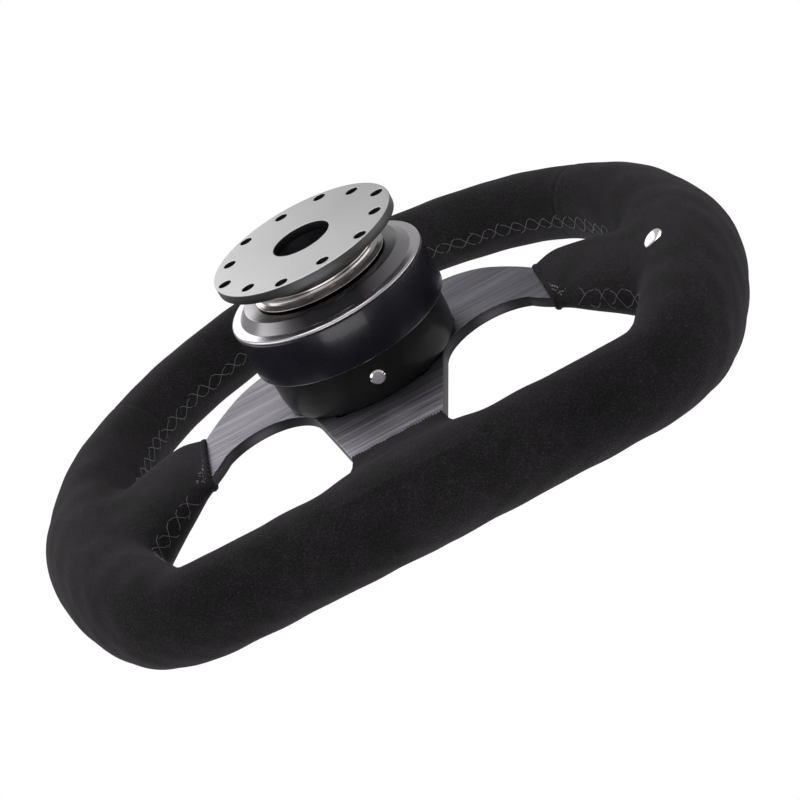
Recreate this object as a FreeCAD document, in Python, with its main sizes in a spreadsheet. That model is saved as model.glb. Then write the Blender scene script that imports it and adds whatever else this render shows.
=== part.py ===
import FreeCAD, Part
import math
import os
import re
import Sketcher

# Quick release steering wheel, in millimetres.
# The origin is the centre of the column flange's mounting face. +Y points from that face toward
# the steering column, the driver is on the -Y side and +Z is at twelve o'clock. "Station" means
# the distance from the flange face toward the driver, so a station s lies at Y = -s.

V = FreeCAD.Vector
document = FreeCAD.newDocument("quick_release_steering_wheel")

# ---------------------------------------------------------------- driving dimensions
SIZES = {
    # column flange
    "flange_rad": 41.2,
    "flange_thick": 4.3,
    "flange_bore_rad": 13.0,
    "flange_seat": 2.2,
    "flange_edge": 0.5,
    "flange_hole_rad": 2.75,
    "flange_hole_turn": 21.0,
    "pitch_rad_a": 35.0,
    "pitch_rad_b": 37.0,
    # neck between flange and collar
    "neck_waist_rad": 25.5,
    "neck_step_rad": 27.3,
    "neck_step": 11.6,
    "neck_foot_rad": 30.2,
    "neck_foot": 16.3,
    # splined spigot on the column side
    "stem_rad": 16.0,
    "stem_bore_rad": 13.2,
    "pilot_rad": 19.5,
    "pilot_end": 36.9,
    "nose_rad": 17.0,
    "nose_end": 54.5,
    "nose_bore_rad": 11.0,
    "spline_count": 12,
    "spline_root_rad": 15.5,
    "spline_gap_width": 4.0,
    # locking balls
    "ball_rad": 3.0,
    "ball_count": 6,
    "ball_station": 30.5,
    "ball_pitch_rad": 20.7,
    "ball_hole_rad": 3.05,
    "groove_gap": 0.2,
    # ball cage
    "cage_bore_rad": 19.8,
    "cage_rad": 22.2,
    "cage_top": 18.6,
    "cage_flange_rad": 31.0,
    "cage_flange_thick": 3.0,
    "cage_screw_pitch": 27.0,
    "cage_screw_rad": 1.45,
    "cage_hole_rad": 1.6,
    "cage_tap_rad": 1.5,
    "cage_screw_length": 9.0,
    "cage_screw_head_rad": 2.6,
    "cage_screw_head": 2.8,
    "cage_screw_key_rad": 1.4,
    "snap_groove_rad": 21.3,
    "snap_rad": 24.3,
    "snap_top": 19.2,
    "snap_thick": 1.2,
    # release collar and its cap
    "collar_rad": 44.4,
    "collar_bore_rad": 41.35,
    "collar_top": 22.9,
    "collar_end": 44.3,
    "collar_edge": 0.55,
    "collar_step_rad": 39.8,
    "collar_step_end": 33.0,
    "boss_top": 17.1,
    "boss_rad": 36.0,
    "boss_bore_rad": 24.8,
    "lip_inner_rad": 40.0,
    "lip_station": 21.3,
    "cap_wall": 3.4,
    "cap_skirt_rad": 38.2,
    "cam_flange": 26.0,
    "cam_flange_thick": 4.0,
    "cam_end": 33.9,
    "cam_rad": 33.8,
    "cam_lock_rad": 24.0,
    "cam_slope": 0.4,
    "cam_web": 1.5,
    "collar_spring_rad": 36.3,
    "collar_spring_wire": 0.9,
    # lower housing
    "housing_rad": 40.9,
    "housing_skirt": 40.0,
    "housing_floor": 47.0,
    "housing_foot_rad": 39.0,
    "skirt_bore_rad": 38.8,
    "socket_bore_rad": 21.0,
    "socket_end": 56.0,
    "wire_bore_rad": 15.0,
    "plate_back": 65.0,
    "foot_round": 3.0,
    # lock button at six o'clock, a little to the driver's left
    "button_across": -2.3,
    "button_station": 53.9,
    "button_rad": 3.35,
    "button_head_rad": 4.35,
    "button_pocket_rad": 4.8,
    "button_face": 42.0,
    "button_chamfer": 0.7,
    "button_shoulder": 34.8,
    "button_head_end": 33.2,
    "bush_end": 35.0,
    "bush_recess": 0.9,
    "button_spring_rad": 2.6,
    "button_spring_wire": 0.45,
    "button_spring_length": 9.0,
    "button_pocket_end": 24.0,
    # spoke plate
    "plate_thick": 5.0,
    "plate_bore_rad": 27.5,
    "wheel_screw_rad": 2.5,
    "wheel_screw_clear": 2.55,
    "wheel_screw_head_rad": 4.9,
    "wheel_screw_length": 12.0,
    "wheel_screw_key_rad": 2.0,
    "wheel_screw_key_deep": 1.6,
    # rim
    "rim_plane": 74.3,
    "rim_top": 125.0,
    "rim_crown_rad": 155.0,
    "rim_crown_turn": 36.0,
    "rim_shoulder_rad": 116.0,
    "rim_shoulder_turn": 38.5,
    "rim_side_rad": 160.0,
    "rim_side_turn": 47.0,
    "rim_corner_rad": 33.6,
    "grip_top_rad": 16.8,
    "grip_side_rad": 20.8,
    "grip_base_rad": 19.6,
    "cover_thick": 1.2,
    "hoop_half_width": 5.0,
    "rivet_rad": 4.3,
    "rivet_thick": 2.2,
    "rivet_sink": 1.9,
    "rivet_across": 128.0,
    "rivet_drop": 46.0,
    # horn button
    "horn_ring_rad": 31.0,
    "horn_ring_bore_rad": 26.0,
    "horn_ring_thick": 2.4,
    "horn_cup_rad": 25.6,
    "horn_cup_bore_rad": 24.0,
    "horn_cup_end": 77.4,
    "horn_cap_rad": 21.4,
    "horn_cap_face": 80.5,
    "horn_cap_bore_rad": 19.4,
    "horn_cap_wall": 4.5,
    "horn_travel": 2.0,
    "ring_screw_pitch": 29.2,
    "ring_screw_rad": 1.0,
    "ring_screw_head_rad": 1.7,
    "ring_screw_head": 1.0,
    "ring_screw_length": 5.4,
    "ring_screw_key_rad": 0.8,
    "horn_cup_floor": 2.0,
    "horn_spring_rad": 15.0,
    "horn_spring_wire": 0.6,
    # horn circuit through the release
    "column_contact_rad": 7.0,
    "wheel_contact_rad": 5.0,
    "fixed_contact_rad": 8.0,
    "moving_contact_rad": 4.0,
    "contact_thick": 0.6,
    "insulator_thick": 4.4,
    "terminal_wide": 4.8,
    "terminal_long": 4.4,
    "terminal_thick": 0.8,
    "terminal_across": 6.0,
}

sheet = document.addObject("Spreadsheet::Sheet", "Sizes")
for row, (word, number) in enumerate(SIZES.items(), start=1):
    sheet.set("A%d" % row, word)
    sheet.set("B%d" % row, str(number))
    sheet.setAlias("B%d" % row, word)
document.recompute()


def bound(text):
    """Turn an expression in plain words into one that names the sheet's cells."""
    return re.sub(r"[a-z]\w*", lambda word: "Sizes." + word.group(0), text)


def number(text):
    """The present value of an expression in plain words."""
    return float(sheet.evalExpression(bound(text)))


nodes = []


def keep(item):
    """Note an object of the document as a sub-part that is written out."""
    nodes.append(item)
    return item


# ---------------------------------------------------------------- sketches and features
def new_body(name):
    body = document.addObject("PartDesign::Body", name)
    body.Label = name
    return body


def origin_item(body, role):
    for item in body.Origin.OriginFeatures:
        if item.Role == role:
            return item
    raise ValueError(role)


def sketch_on(body, role, name, offset="0"):
    """A sketch on one of the body's origin planes, moved along the plane's normal."""
    sketch = body.newObject("Sketcher::SketchObject", name)
    sketch.AttachmentSupport = [(origin_item(body, role), "")]
    sketch.MapMode = "FlatFace"
    if offset != "0":
        sketch.setExpression("AttachmentOffset.Base.z", bound(offset))
    return sketch


def place_point(sketch, edge, end, across, up):
    """Hold one end of an edge at a place given by two expressions."""
    for kind, text in (("DistanceX", across), ("DistanceY", up)):
        constraint = Sketcher.Constraint(kind, -1, 1, edge, end, number(text))
        index = sketch.addConstraint(constraint)
        sketch.setExpression("Constraints[%d]" % index, bound(text))


def add_polygon(sketch, corners):
    """A closed outline of straight edges through corners given as pairs of expressions."""
    places = [V(number(across), number(up), 0) for across, up in corners]
    first = sketch.GeometryCount
    count = len(corners)
    for i in range(count):
        sketch.addGeometry(Part.LineSegment(places[i], places[(i + 1) % count]), False)
    for i in range(count):
        following = first + (i + 1) % count
        sketch.addConstraint(Sketcher.Constraint("Coincident", first + i, 2, following, 1))
    for i, (across, up) in enumerate(corners):
        place_point(sketch, first + i, 1, across, up)


def add_circle(sketch, across, up, radius):
    circle = Part.Circle(V(number(across), number(up), 0), V(0, 0, 1), number(radius))
    edge = sketch.addGeometry(circle, False)
    place_point(sketch, edge, 3, across, up)
    index = sketch.addConstraint(Sketcher.Constraint("Radius", edge, number(radius)))
    sketch.setExpression("Constraints[%d]" % index, bound(radius))


def turned(name, profile, axis="Y"):
    """A turned piece: a body revolved about Y from (radius, station) corners.

    With axis="Z" the corners are (radius, height) and the piece turns about the lock button's
    own axis, which runs along Z at the button's station."""
    body = new_body(name)
    if axis == "Y":
        sketch = sketch_on(body, "XY_Plane", name + "_profile")
        add_polygon(sketch, [(radius, "-(%s)" % station) for radius, station in profile])
    else:
        sketch = sketch_on(body, "XZ_Plane", name + "_profile", "button_station")
        add_polygon(sketch, profile)
    revolution = body.newObject("PartDesign::Revolution", name + "_turning")
    revolution.Profile = sketch
    revolution.ReferenceAxis = (sketch, ["V_Axis"])
    revolution.Angle = 360
    if axis == "Z":
        body.setExpression("Placement.Base.x", bound("button_across"))
    return keep(body)


def drilled(body, name, place, radius, station, depth, toward_column=False):
    """A round hole along Y that starts at a station; it runs toward the driver by default."""
    sketch = sketch_on(body, "XZ_Plane", name + "_outline", station)
    add_circle(sketch, place[0], place[1], radius)
    pocket = body.newObject("PartDesign::Pocket", name)
    pocket.Profile = sketch
    pocket.setExpression("Length", bound(depth))
    pocket.Reversed = not toward_column
    return pocket


def repeated(body, feature, count, name):
    """A feature repeated around the Y axis."""
    pattern = body.newObject("PartDesign::PolarPattern", name)
    pattern.Originals = [feature]
    pattern.Axis = (origin_item(body, "Y_Axis"), [""])
    pattern.Angle = 360
    pattern.setExpression("Occurrences", bound(count))
    body.Tip = pattern
    return pattern


# ---------------------------------------------------------------- column side
def column_flange():
    body = turned("column_flange", [
        ("flange_bore_rad", "0"),
        ("flange_rad - flange_edge", "0"),
        ("flange_rad", "flange_edge"),
        ("flange_rad", "flange_thick"),
        ("stem_rad", "flange_thick"),
        ("stem_rad", "flange_seat"),
        ("flange_bore_rad", "flange_seat"),
    ])
    for letter, turn in (("a", 0), ("b", 30)):
        degrees = math.radians(number("flange_hole_turn") + turn)
        across = "pitch_rad_%s * %.6f" % (letter, math.cos(degrees))
        up = "pitch_rad_%s * %.6f" % (letter, math.sin(degrees))
        hole = drilled(body, "bolt_hole_" + letter, (across, up), "flange_hole_rad", "0",
                       "flange_thick + 1")
        repeated(body, hole, "6", "bolt_holes_" + letter)


def flange_neck():
    turned("flange_neck", [
        ("stem_rad", "flange_thick"),
        ("neck_waist_rad", "flange_thick"),
        ("neck_waist_rad", "neck_step - 0.6"),
        ("neck_step_rad - 0.4", "neck_step - 0.4"),
        ("neck_step_rad", "neck_step"),
        ("neck_step_rad + 0.3", "neck_step + 1.6"),
        ("neck_step_rad + 1.2", "neck_foot - 1.4"),
        ("neck_foot_rad", "neck_foot - 0.6"),
        ("neck_foot_rad", "neck_foot"),
        ("stem_rad", "neck_foot"),
    ])


def splined_spigot():
    """The plug that stays on the column: stem, pilot with the ball groove, splined nose."""
    body = turned("splined_spigot", [
        ("stem_bore_rad", "flange_seat"),
        ("stem_rad", "flange_seat"),
        ("stem_rad", "neck_foot"),
        ("pilot_rad", "neck_foot"),
        ("pilot_rad", "pilot_end - 0.5"),
        ("pilot_rad - 0.5", "pilot_end"),
        ("nose_rad", "pilot_end"),
        ("nose_rad", "nose_end - 0.8"),
        ("nose_rad - 0.8", "nose_end"),
        ("nose_bore_rad", "nose_end"),
        ("nose_bore_rad", "ball_station + 8"),
        ("stem_bore_rad", "ball_station + 5"),
    ])
    sketch = sketch_on(body, "XY_Plane", "ball_groove_profile")
    add_circle(sketch, "ball_pitch_rad", "-ball_station", "ball_rad + groove_gap")
    groove = body.newObject("PartDesign::Groove", "ball_groove")
    groove.Profile = sketch
    groove.ReferenceAxis = (sketch, ["V_Axis"])
    groove.Angle = 360
    body.Tip = groove
    outline = sketch_on(body, "XZ_Plane", "spline_gap_outline", "pilot_end")
    add_polygon(outline, [
        ("spline_root_rad", "-spline_gap_width / 2"),
        ("nose_rad + 1", "-spline_gap_width / 2"),
        ("nose_rad + 1", "spline_gap_width / 2"),
        ("spline_root_rad", "spline_gap_width / 2"),
    ])
    gap = body.newObject("PartDesign::Pocket", "spline_gap")
    gap.Profile = outline
    gap.setExpression("Length", bound("nose_end - pilot_end + 1"))
    gap.Reversed = True
    repeated(body, gap, "spline_count", "spline_gaps")


def column_contacts():
    turned("contact_insulator", [
        ("0", "nose_end - insulator_thick - contact_thick"),
        ("nose_bore_rad", "nose_end - insulator_thick - contact_thick"),
        ("nose_bore_rad", "nose_end - contact_thick"),
        ("0", "nose_end - contact_thick"),
    ])
    turned("column_contact", [
        ("0", "nose_end - contact_thick"),
        ("column_contact_rad", "nose_end - contact_thick"),
        ("column_contact_rad", "nose_end - 0.1"),
        ("0", "nose_end - 0.1"),
    ])


# ---------------------------------------------------------------- release collar
def release_collar():
    turned("release_collar", [
        ("collar_bore_rad", "collar_top"),
        ("collar_rad - collar_edge", "collar_top"),
        ("collar_rad", "collar_top + collar_edge"),
        ("collar_rad", "collar_end - collar_edge"),
        ("collar_rad - collar_edge", "collar_end"),
        ("collar_bore_rad", "collar_end"),
        ("collar_bore_rad", "collar_step_end"),
        ("collar_step_rad", "collar_step_end"),
        ("collar_step_rad", "cam_flange + cam_flange_thick"),
        ("collar_bore_rad", "cam_flange + cam_flange_thick"),
    ])


def collar_cap():
    """The bright front of the collar: flat boss, bevel and polished lip."""
    turned("collar_cap", [
        ("boss_bore_rad", "boss_top"),
        ("boss_rad", "boss_top"),
        ("lip_inner_rad", "lip_station"),
        ("collar_rad - 0.8", "lip_station"),
        ("collar_rad", "lip_station + 0.6"),
        ("collar_rad", "collar_top - 0.1"),
        ("collar_bore_rad - 0.05", "collar_top - 0.1"),
        ("collar_bore_rad - 0.05", "cam_flange - 0.2"),
        ("cap_skirt_rad", "cam_flange - 0.2"),
        ("cap_skirt_rad", "lip_station + 2.7"),
        ("boss_rad - 1.2", "boss_top + cap_wall"),
        ("boss_bore_rad", "boss_top + cap_wall"),
    ])


def cam_ring():
    """The steel cone that holds the balls in; it opens toward the column."""
    web_face = "boss_top + cap_wall + 0.2 + cam_web"
    rise_top = "cam_lock_rad + cam_slope * (ball_station - (%s))" % web_face
    rise_end = "cam_lock_rad + cam_slope * (ball_station - cam_end)"
    turned("cam_ring", [
        ("cage_rad + 0.5", "boss_top + cap_wall + 0.2"),
        ("cam_rad + 0.2", "boss_top + cap_wall + 0.2"),
        ("cam_rad + 0.2", "cam_flange"),
        ("collar_bore_rad - 0.05", "cam_flange"),
        ("collar_bore_rad - 0.05", "cam_flange + cam_flange_thick"),
        ("cam_rad", "cam_flange + cam_flange_thick"),
        ("cam_rad", "cam_end"),
        (rise_end, "cam_end"),
        (rise_top, web_face),
        ("cage_rad + 0.5", web_face),
    ])


# ---------------------------------------------------------------- wheel side of the release
def quick_release_housing():
    body = turned("quick_release_housing", [
        ("skirt_bore_rad", "housing_skirt"),
        ("housing_rad - 0.4", "housing_skirt"),
        ("housing_rad", "housing_skirt + 0.4"),
        ("housing_rad", "plate_back - 8"),
        ("housing_rad - 0.3", "plate_back - foot_round"),
        ("housing_rad - 0.9", "plate_back - 1.4"),
        ("housing_foot_rad", "plate_back"),
        ("wire_bore_rad", "plate_back"),
        ("wire_bore_rad", "socket_end"),
        ("socket_bore_rad", "socket_end"),
        ("socket_bore_rad", "housing_floor"),
        ("skirt_bore_rad", "housing_floor"),
    ])
    pocket_plane = sketch_on(body, "XY_Plane", "button_pocket_outline", "-housing_rad - 2")
    add_circle(pocket_plane, "button_across", "-button_station", "button_pocket_rad")
    pocket = body.newObject("PartDesign::Pocket", "button_pocket")
    pocket.Profile = pocket_plane
    pocket.setExpression("Length", bound("housing_rad + 2 - button_pocket_end"))
    pocket.Reversed = True
    wheel_hole = drilled(body, "wheel_screw_hole", ("pitch_rad_a", "0"), "wheel_screw_rad",
                         "plate_back", "8", toward_column=True)
    repeated(body, wheel_hole, "6", "wheel_screw_holes")
    diagonal = "cage_screw_pitch * %.6f" % math.sqrt(0.5)
    cage_hole = drilled(body, "cage_screw_hole", (diagonal, diagonal), "cage_tap_rad",
                        "housing_floor", "7")
    repeated(body, cage_hole, "4", "cage_screw_holes")


def spline_socket():
    body = turned("spline_socket", [
        ("nose_rad + 0.3", "housing_floor + 0.1"),
        ("socket_bore_rad - 0.05", "housing_floor + 0.1"),
        ("socket_bore_rad - 0.05", "socket_end"),
        ("nose_rad + 0.3", "socket_end"),
    ])
    outline = sketch_on(body, "XZ_Plane", "spline_key_outline", "housing_floor + 0.1")
    add_polygon(outline, [
        ("spline_root_rad + 0.2", "-(spline_gap_width - 0.4) / 2"),
        ("nose_rad + 1.3", "-(spline_gap_width - 0.4) / 2"),
        ("nose_rad + 1.3", "(spline_gap_width - 0.4) / 2"),
        ("spline_root_rad + 0.2", "(spline_gap_width - 0.4) / 2"),
    ])
    key = body.newObject("PartDesign::Pad", "spline_key")
    key.Profile = outline
    key.setExpression("Length", bound("socket_end - housing_floor - 0.1"))
    repeated(body, key, "spline_count", "spline_keys")


def ball_cage():
    body = turned("ball_cage", [
        ("cage_bore_rad", "cage_top"),
        ("cage_rad - 0.3", "cage_top"),
        ("cage_rad", "cage_top + 0.3"),
        ("cage_rad", "snap_top - 0.1"),
        ("snap_groove_rad", "snap_top - 0.1"),
        ("snap_groove_rad", "snap_top + snap_thick + 0.1"),
        ("cage_rad", "snap_top + snap_thick + 0.1"),
        ("cage_rad", "housing_floor - cage_flange_thick"),
        ("cage_flange_rad", "housing_floor - cage_flange_thick"),
        ("cage_flange_rad", "housing_floor"),
        ("cage_bore_rad", "housing_floor"),
    ])
    outline = sketch_on(body, "XY_Plane", "ball_hole_outline")
    add_circle(outline, "0", "-ball_station", "ball_hole_rad")
    hole = body.newObject("PartDesign::Pocket", "ball_hole")
    hole.Profile = outline
    hole.setExpression("Length", bound("cage_rad + 2"))
    hole.Reversed = True
    repeated(body, hole, "ball_count", "ball_holes")
    diagonal = "cage_screw_pitch * %.6f" % math.sqrt(0.5)
    screw_hole = drilled(body, "cage_clearance_hole", (diagonal, diagonal), "cage_hole_rad",
                         "housing_floor - cage_flange_thick - 1", "cage_flange_thick + 2")
    repeated(body, screw_hole, "4", "cage_clearance_holes")


def snap_ring():
    body = turned("snap_ring", [
        ("snap_groove_rad + 0.1", "snap_top"),
        ("snap_rad", "snap_top"),
        ("snap_rad", "snap_top + snap_thick"),
        ("snap_groove_rad + 0.1", "snap_top + snap_thick"),
    ])
    outline = sketch_on(body, "XZ_Plane", "ring_gap_outline", "snap_top - 1")
    add_polygon(outline, [
        ("-2.5", "snap_groove_rad - 2"),
        ("2.5", "snap_groove_rad - 2"),
        ("2.5", "snap_rad + 2"),
        ("-2.5", "snap_rad + 2"),
    ])
    gap = body.newObject("PartDesign::Pocket", "ring_gap")
    gap.Profile = outline
    gap.setExpression("Length", bound("snap_thick + 2"))
    gap.Reversed = True


# ---------------------------------------------------------------- lock button
def lock_button():
    turned("lock_button", [
        ("0", "-button_face"),
        ("button_rad - button_chamfer", "-button_face"),
        ("button_rad", "-button_face + button_chamfer"),
        ("button_rad", "-button_shoulder"),
        ("button_head_rad", "-button_shoulder"),
        ("button_head_rad", "-button_head_end"),
        ("0", "-button_head_end"),
    ], axis="Z")
    turned("button_bush", [
        ("button_rad + 0.05", "-housing_rad + bush_recess"),
        ("button_pocket_rad - 0.03", "-housing_rad + bush_recess"),
        ("button_pocket_rad - 0.03", "-bush_end"),
        ("button_rad + 0.05", "-bush_end"),
    ], axis="Z")


# ---------------------------------------------------------------- horn button
def horn_parts():
    plate_front = "plate_back + plate_thick"
    ring = turned("horn_ring", [
        ("horn_ring_bore_rad", plate_front),
        ("horn_ring_rad", plate_front),
        ("horn_ring_rad", plate_front + " + horn_ring_thick - 0.6"),
        ("horn_ring_rad - 0.6", plate_front + " + horn_ring_thick"),
        ("horn_ring_bore_rad + 0.5", plate_front + " + horn_ring_thick"),
        ("horn_ring_bore_rad", plate_front + " + horn_ring_thick - 0.5"),
    ])
    hole = drilled(ring, "ring_screw_hole", ("0", "ring_screw_pitch"), "ring_screw_rad + 0.1",
                   plate_front + " - 1", "horn_ring_thick + 2")
    repeated(ring, hole, "3", "ring_screw_holes")
    turned("horn_cup", [
        ("0", "plate_back + 0.2"),
        ("plate_bore_rad - 0.2", "plate_back + 0.2"),
        ("plate_bore_rad - 0.2", plate_front),
        ("horn_cup_rad", plate_front),
        ("horn_cup_rad", "horn_cup_end"),
        ("horn_cup_bore_rad", "horn_cup_end"),
        ("horn_cup_bore_rad", "plate_back + horn_cup_floor"),
        ("0", "plate_back + horn_cup_floor"),
    ])
    turned("horn_bezel", [
        ("horn_cap_rad + 0.4", "horn_cup_end"),
        ("horn_cup_rad", "horn_cup_end"),
        ("horn_cup_rad", "horn_cup_end + 0.9"),
        ("horn_cup_rad - 0.6", "horn_cup_end + 1.5"),
        ("horn_cap_rad + 0.8", "horn_cup_end + 1.5"),
        ("horn_cap_rad + 0.4", "horn_cup_end + 1.1"),
    ])
    turned("horn_cap", [
        ("0", "horn_cap_face"),
        ("horn_cap_rad * 0.4", "horn_cap_face - 0.15"),
        ("horn_cap_rad * 0.7", "horn_cap_face - 0.5"),
        ("horn_cap_rad * 0.9", "horn_cap_face - 1.0"),
        ("horn_cap_rad", "horn_cap_face - 1.8"),
        ("horn_cap_rad", "horn_cup_end - 0.3"),
        ("horn_cup_bore_rad - 0.35", "horn_cup_end - 0.3"),
        ("horn_cup_bore_rad - 0.35", "horn_cup_end - 4"),
        ("horn_cap_bore_rad", "horn_cup_end - 4"),
        ("horn_cap_bore_rad", "horn_cap_face - horn_cap_wall"),
        ("0", "horn_cap_face - horn_cap_wall"),
    ])
    turned("horn_fixed_contact", [
        ("0", "plate_back + horn_cup_floor"),
        ("fixed_contact_rad", "plate_back + horn_cup_floor"),
        ("fixed_contact_rad", "plate_back + horn_cup_floor + contact_thick"),
        ("0", "plate_back + horn_cup_floor + contact_thick"),
    ])
    moving_face = "plate_back + horn_cup_floor + 0.2 + contact_thick + horn_travel"
    turned("horn_moving_contact", [
        ("0", moving_face),
        ("moving_contact_rad", moving_face),
        ("moving_contact_rad", "horn_cap_face - horn_cap_wall"),
        ("0", "horn_cap_face - horn_cap_wall"),
    ])
    turned("contact_carrier", [
        ("0", "socket_end + 0.3"),
        ("wire_bore_rad - 0.1", "socket_end + 0.3"),
        ("wire_bore_rad - 0.1", "socket_end + 4.3"),
        ("0", "socket_end + 4.3"),
    ])
    turned("wheel_contact", [
        ("0", "nose_end + 0.1"),
        ("wheel_contact_rad", "nose_end + 0.1"),
        ("wheel_contact_rad", "socket_end + 0.3"),
        ("0", "socket_end + 0.3"),
    ])


# ---------------------------------------------------------------- primitives and groups
def along_y(item, across, station, up, toward_driver=True):
    """Lay a primitive's own axis along Y, starting at a station."""
    turn = 90 if toward_driver else -90
    item.Placement = FreeCAD.Placement(V(0, 0, 0), FreeCAD.Rotation(V(1, 0, 0), turn))
    item.setExpression("Placement.Base.x", bound(across))
    item.setExpression("Placement.Base.y", bound("-(%s)" % station))
    item.setExpression("Placement.Base.z", bound(up))


def cylinder(name, radius, height, across, station, up, toward_driver=True):
    item = document.addObject("Part::Cylinder", name)
    item.setExpression("Radius", bound(radius))
    item.setExpression("Height", bound(height))
    along_y(item, across, station, up, toward_driver)
    return item


def hexagon(name, radius, height, across, station, up, toward_driver=True):
    item = document.addObject("Part::Prism", name)
    item.Polygon = 6
    item.setExpression("Circumradius", bound(radius))
    item.setExpression("Height", bound(height))
    along_y(item, across, station, up, toward_driver)
    return item


def joined(kind, name, base, tool):
    item = document.addObject(kind, name)
    item.Base = base
    item.Tool = tool
    return item


def screw_group(name, places, shank, shank_length, head, head_height, socket, seat, to_column):
    """Identical socket screws; each place is a pair of expressions for X and Z."""
    screws = []
    for i, (across, up) in enumerate(places):
        tag = "%s_%d" % (name, i)
        body = cylinder(tag + "_shank", shank, shank_length, across, seat, up, not to_column)
        cap = cylinder(tag + "_head", head, head_height, across, seat, up, to_column)
        rim = "%s %s (%s)" % (seat, "+" if to_column else "-", head_height)
        key = hexagon(tag + "_key", socket, head_height + " * 0.6", across, rim, up, not to_column)
        whole = joined("Part::Fuse", tag + "_blank", cap, body)
        screws.append(joined("Part::Cut", tag, whole, key))
    group = document.addObject("Part::Compound", name)
    group.Label = name
    group.Links = screws
    return keep(group)


def countersunk_group(name, places, shank, shank_length, head, socket, seat):
    """Identical countersunk socket screws, flush with the seat and driven toward the column."""
    deep = "wheel_screw_key_deep"
    screws = []
    head_height = "%s - (%s)" % (head, shank)
    for i, (across, up) in enumerate(places):
        tag = "%s_%d" % (name, i)
        body = cylinder(tag + "_shank", shank, shank_length, across, seat, up, False)
        cone = document.addObject("Part::Cone", tag + "_head")
        cone.setExpression("Radius1", bound(head))
        cone.setExpression("Radius2", bound(shank))
        cone.setExpression("Height", bound(head_height))
        along_y(cone, across, seat, up, False)
        key = hexagon(tag + "_key", socket, deep, across, seat, up, False)
        whole = joined("Part::Fuse", tag + "_blank", cone, body)
        screws.append(joined("Part::Cut", tag, whole, key))
    group = document.addObject("Part::Compound", name)
    group.Label = name
    group.Links = screws
    return keep(group)


def circle_places(radius, count, start):
    places = []
    for i in range(count):
        degrees = math.radians(start + 360.0 * i / count)
        across = "%s * %.6f" % (radius, math.cos(degrees))
        up = "%s * %.6f" % (radius, math.sin(degrees))
        places.append((across, up))
    return places


def fasteners():
    screw_group("cage_screws", circle_places("cage_screw_pitch", 4, 45), "cage_screw_rad",
                "cage_screw_length", "cage_screw_head_rad", "cage_screw_head",
                "cage_screw_key_rad", "housing_floor - cage_flange_thick", False)
    countersunk_group("wheel_screws", circle_places("pitch_rad_a", 6, 0), "wheel_screw_rad - 0.05",
                      "wheel_screw_length", "wheel_screw_head_rad", "wheel_screw_key_rad",
                      "plate_back + plate_thick")
    screw_group("ring_screws", circle_places("ring_screw_pitch", 3, 90), "ring_screw_rad",
                "ring_screw_length", "ring_screw_head_rad", "ring_screw_head",
                "ring_screw_key_rad", "plate_back + plate_thick + horn_ring_thick", True)


def locking_balls():
    count = int(number("ball_count"))
    for i, (across, up) in enumerate(circle_places("ball_pitch_rad", count, 90)):
        ball = document.addObject("Part::Sphere", "locking_ball_%d" % (i + 1))
        ball.Label = ball.Name
        ball.setExpression("Radius", bound("ball_rad"))
        ball.setExpression("Placement.Base.x", bound(across))
        ball.setExpression("Placement.Base.y", bound("-ball_station"))
        ball.setExpression("Placement.Base.z", bound(up))
        keep(ball)


def coil_spring(name, radius, wire, length, turns, place, rotation):
    """A round-wire coil spring of a given length, standing on its place."""
    radius = number(radius)
    wire = number(wire)
    height = number(length) - 2 * wire
    helix = Part.makeHelix(height / turns, height, radius)
    section = Part.Wire(Part.makeCircle(wire, V(radius, 0, 0), V(0, 1, 0)))
    coil = Part.Wire(helix.Edges).makePipeShell([section], True, True)
    spring = document.addObject("Part::Feature", name)
    spring.Label = name
    spring.Shape = coil
    spring.Placement = FreeCAD.Placement(place, rotation)
    return keep(spring)


def springs():
    toward_driver = FreeCAD.Rotation(V(1, 0, 0), 90)
    seat = number("cam_flange + cam_flange_thick + collar_spring_wire + 0.1")
    coil_spring("collar_spring", "collar_spring_rad", "collar_spring_wire",
                "housing_floor - cam_flange - cam_flange_thick - 0.2",
                4, V(0, -seat, 0), toward_driver)
    foot = number("-button_head_end + button_spring_wire + 0.1")
    coil_spring("button_spring", "button_spring_rad", "button_spring_wire",
                "button_spring_length", 6,
                V(number("button_across"), -number("button_station"), foot), FreeCAD.Rotation())
    seat = number("plate_back + horn_cup_floor + horn_spring_wire + 0.1")
    coil_spring("horn_spring", "horn_spring_rad", "horn_spring_wire",
                "horn_cap_face - horn_cap_wall - 0.2 - plate_back - horn_cup_floor",
                3, V(0, -seat, 0), toward_driver)


def horn_terminals():
    blades = []
    for side in (-1, 1):
        blade = document.addObject("Part::Box", "terminal_%s" % ("left" if side < 0 else "right"))
        blade.setExpression("Length", bound("terminal_wide"))
        blade.setExpression("Width", bound("terminal_long"))
        blade.setExpression("Height", bound("terminal_thick"))
        middle = bound("%d * terminal_across - terminal_wide / 2" % side)
        blade.setExpression("Placement.Base.x", middle)
        blade.setExpression("Placement.Base.y", bound("-(plate_back + 0.2)"))
        blade.setExpression("Placement.Base.z", bound("-terminal_thick / 2"))
        blades.append(blade)
    group = document.addObject("Part::Compound", "horn_terminals")
    group.Label = "horn_terminals"
    group.Links = blades
    keep(group)


# ---------------------------------------------------------------- rim path
def heading_arc(start, heading, radius, turn):
    """An arc in the wheel plane that starts at a point, heads one way and turns clockwise."""
    centre = start + V(-math.sin(heading), 0, -math.cos(heading)) * radius
    ends = []
    for share in (0.0, 0.5, 1.0):
        angle = heading + turn * share
        ends.append(centre + V(math.sin(angle), 0, math.cos(angle)) * radius)
    return ends, centre


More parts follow.
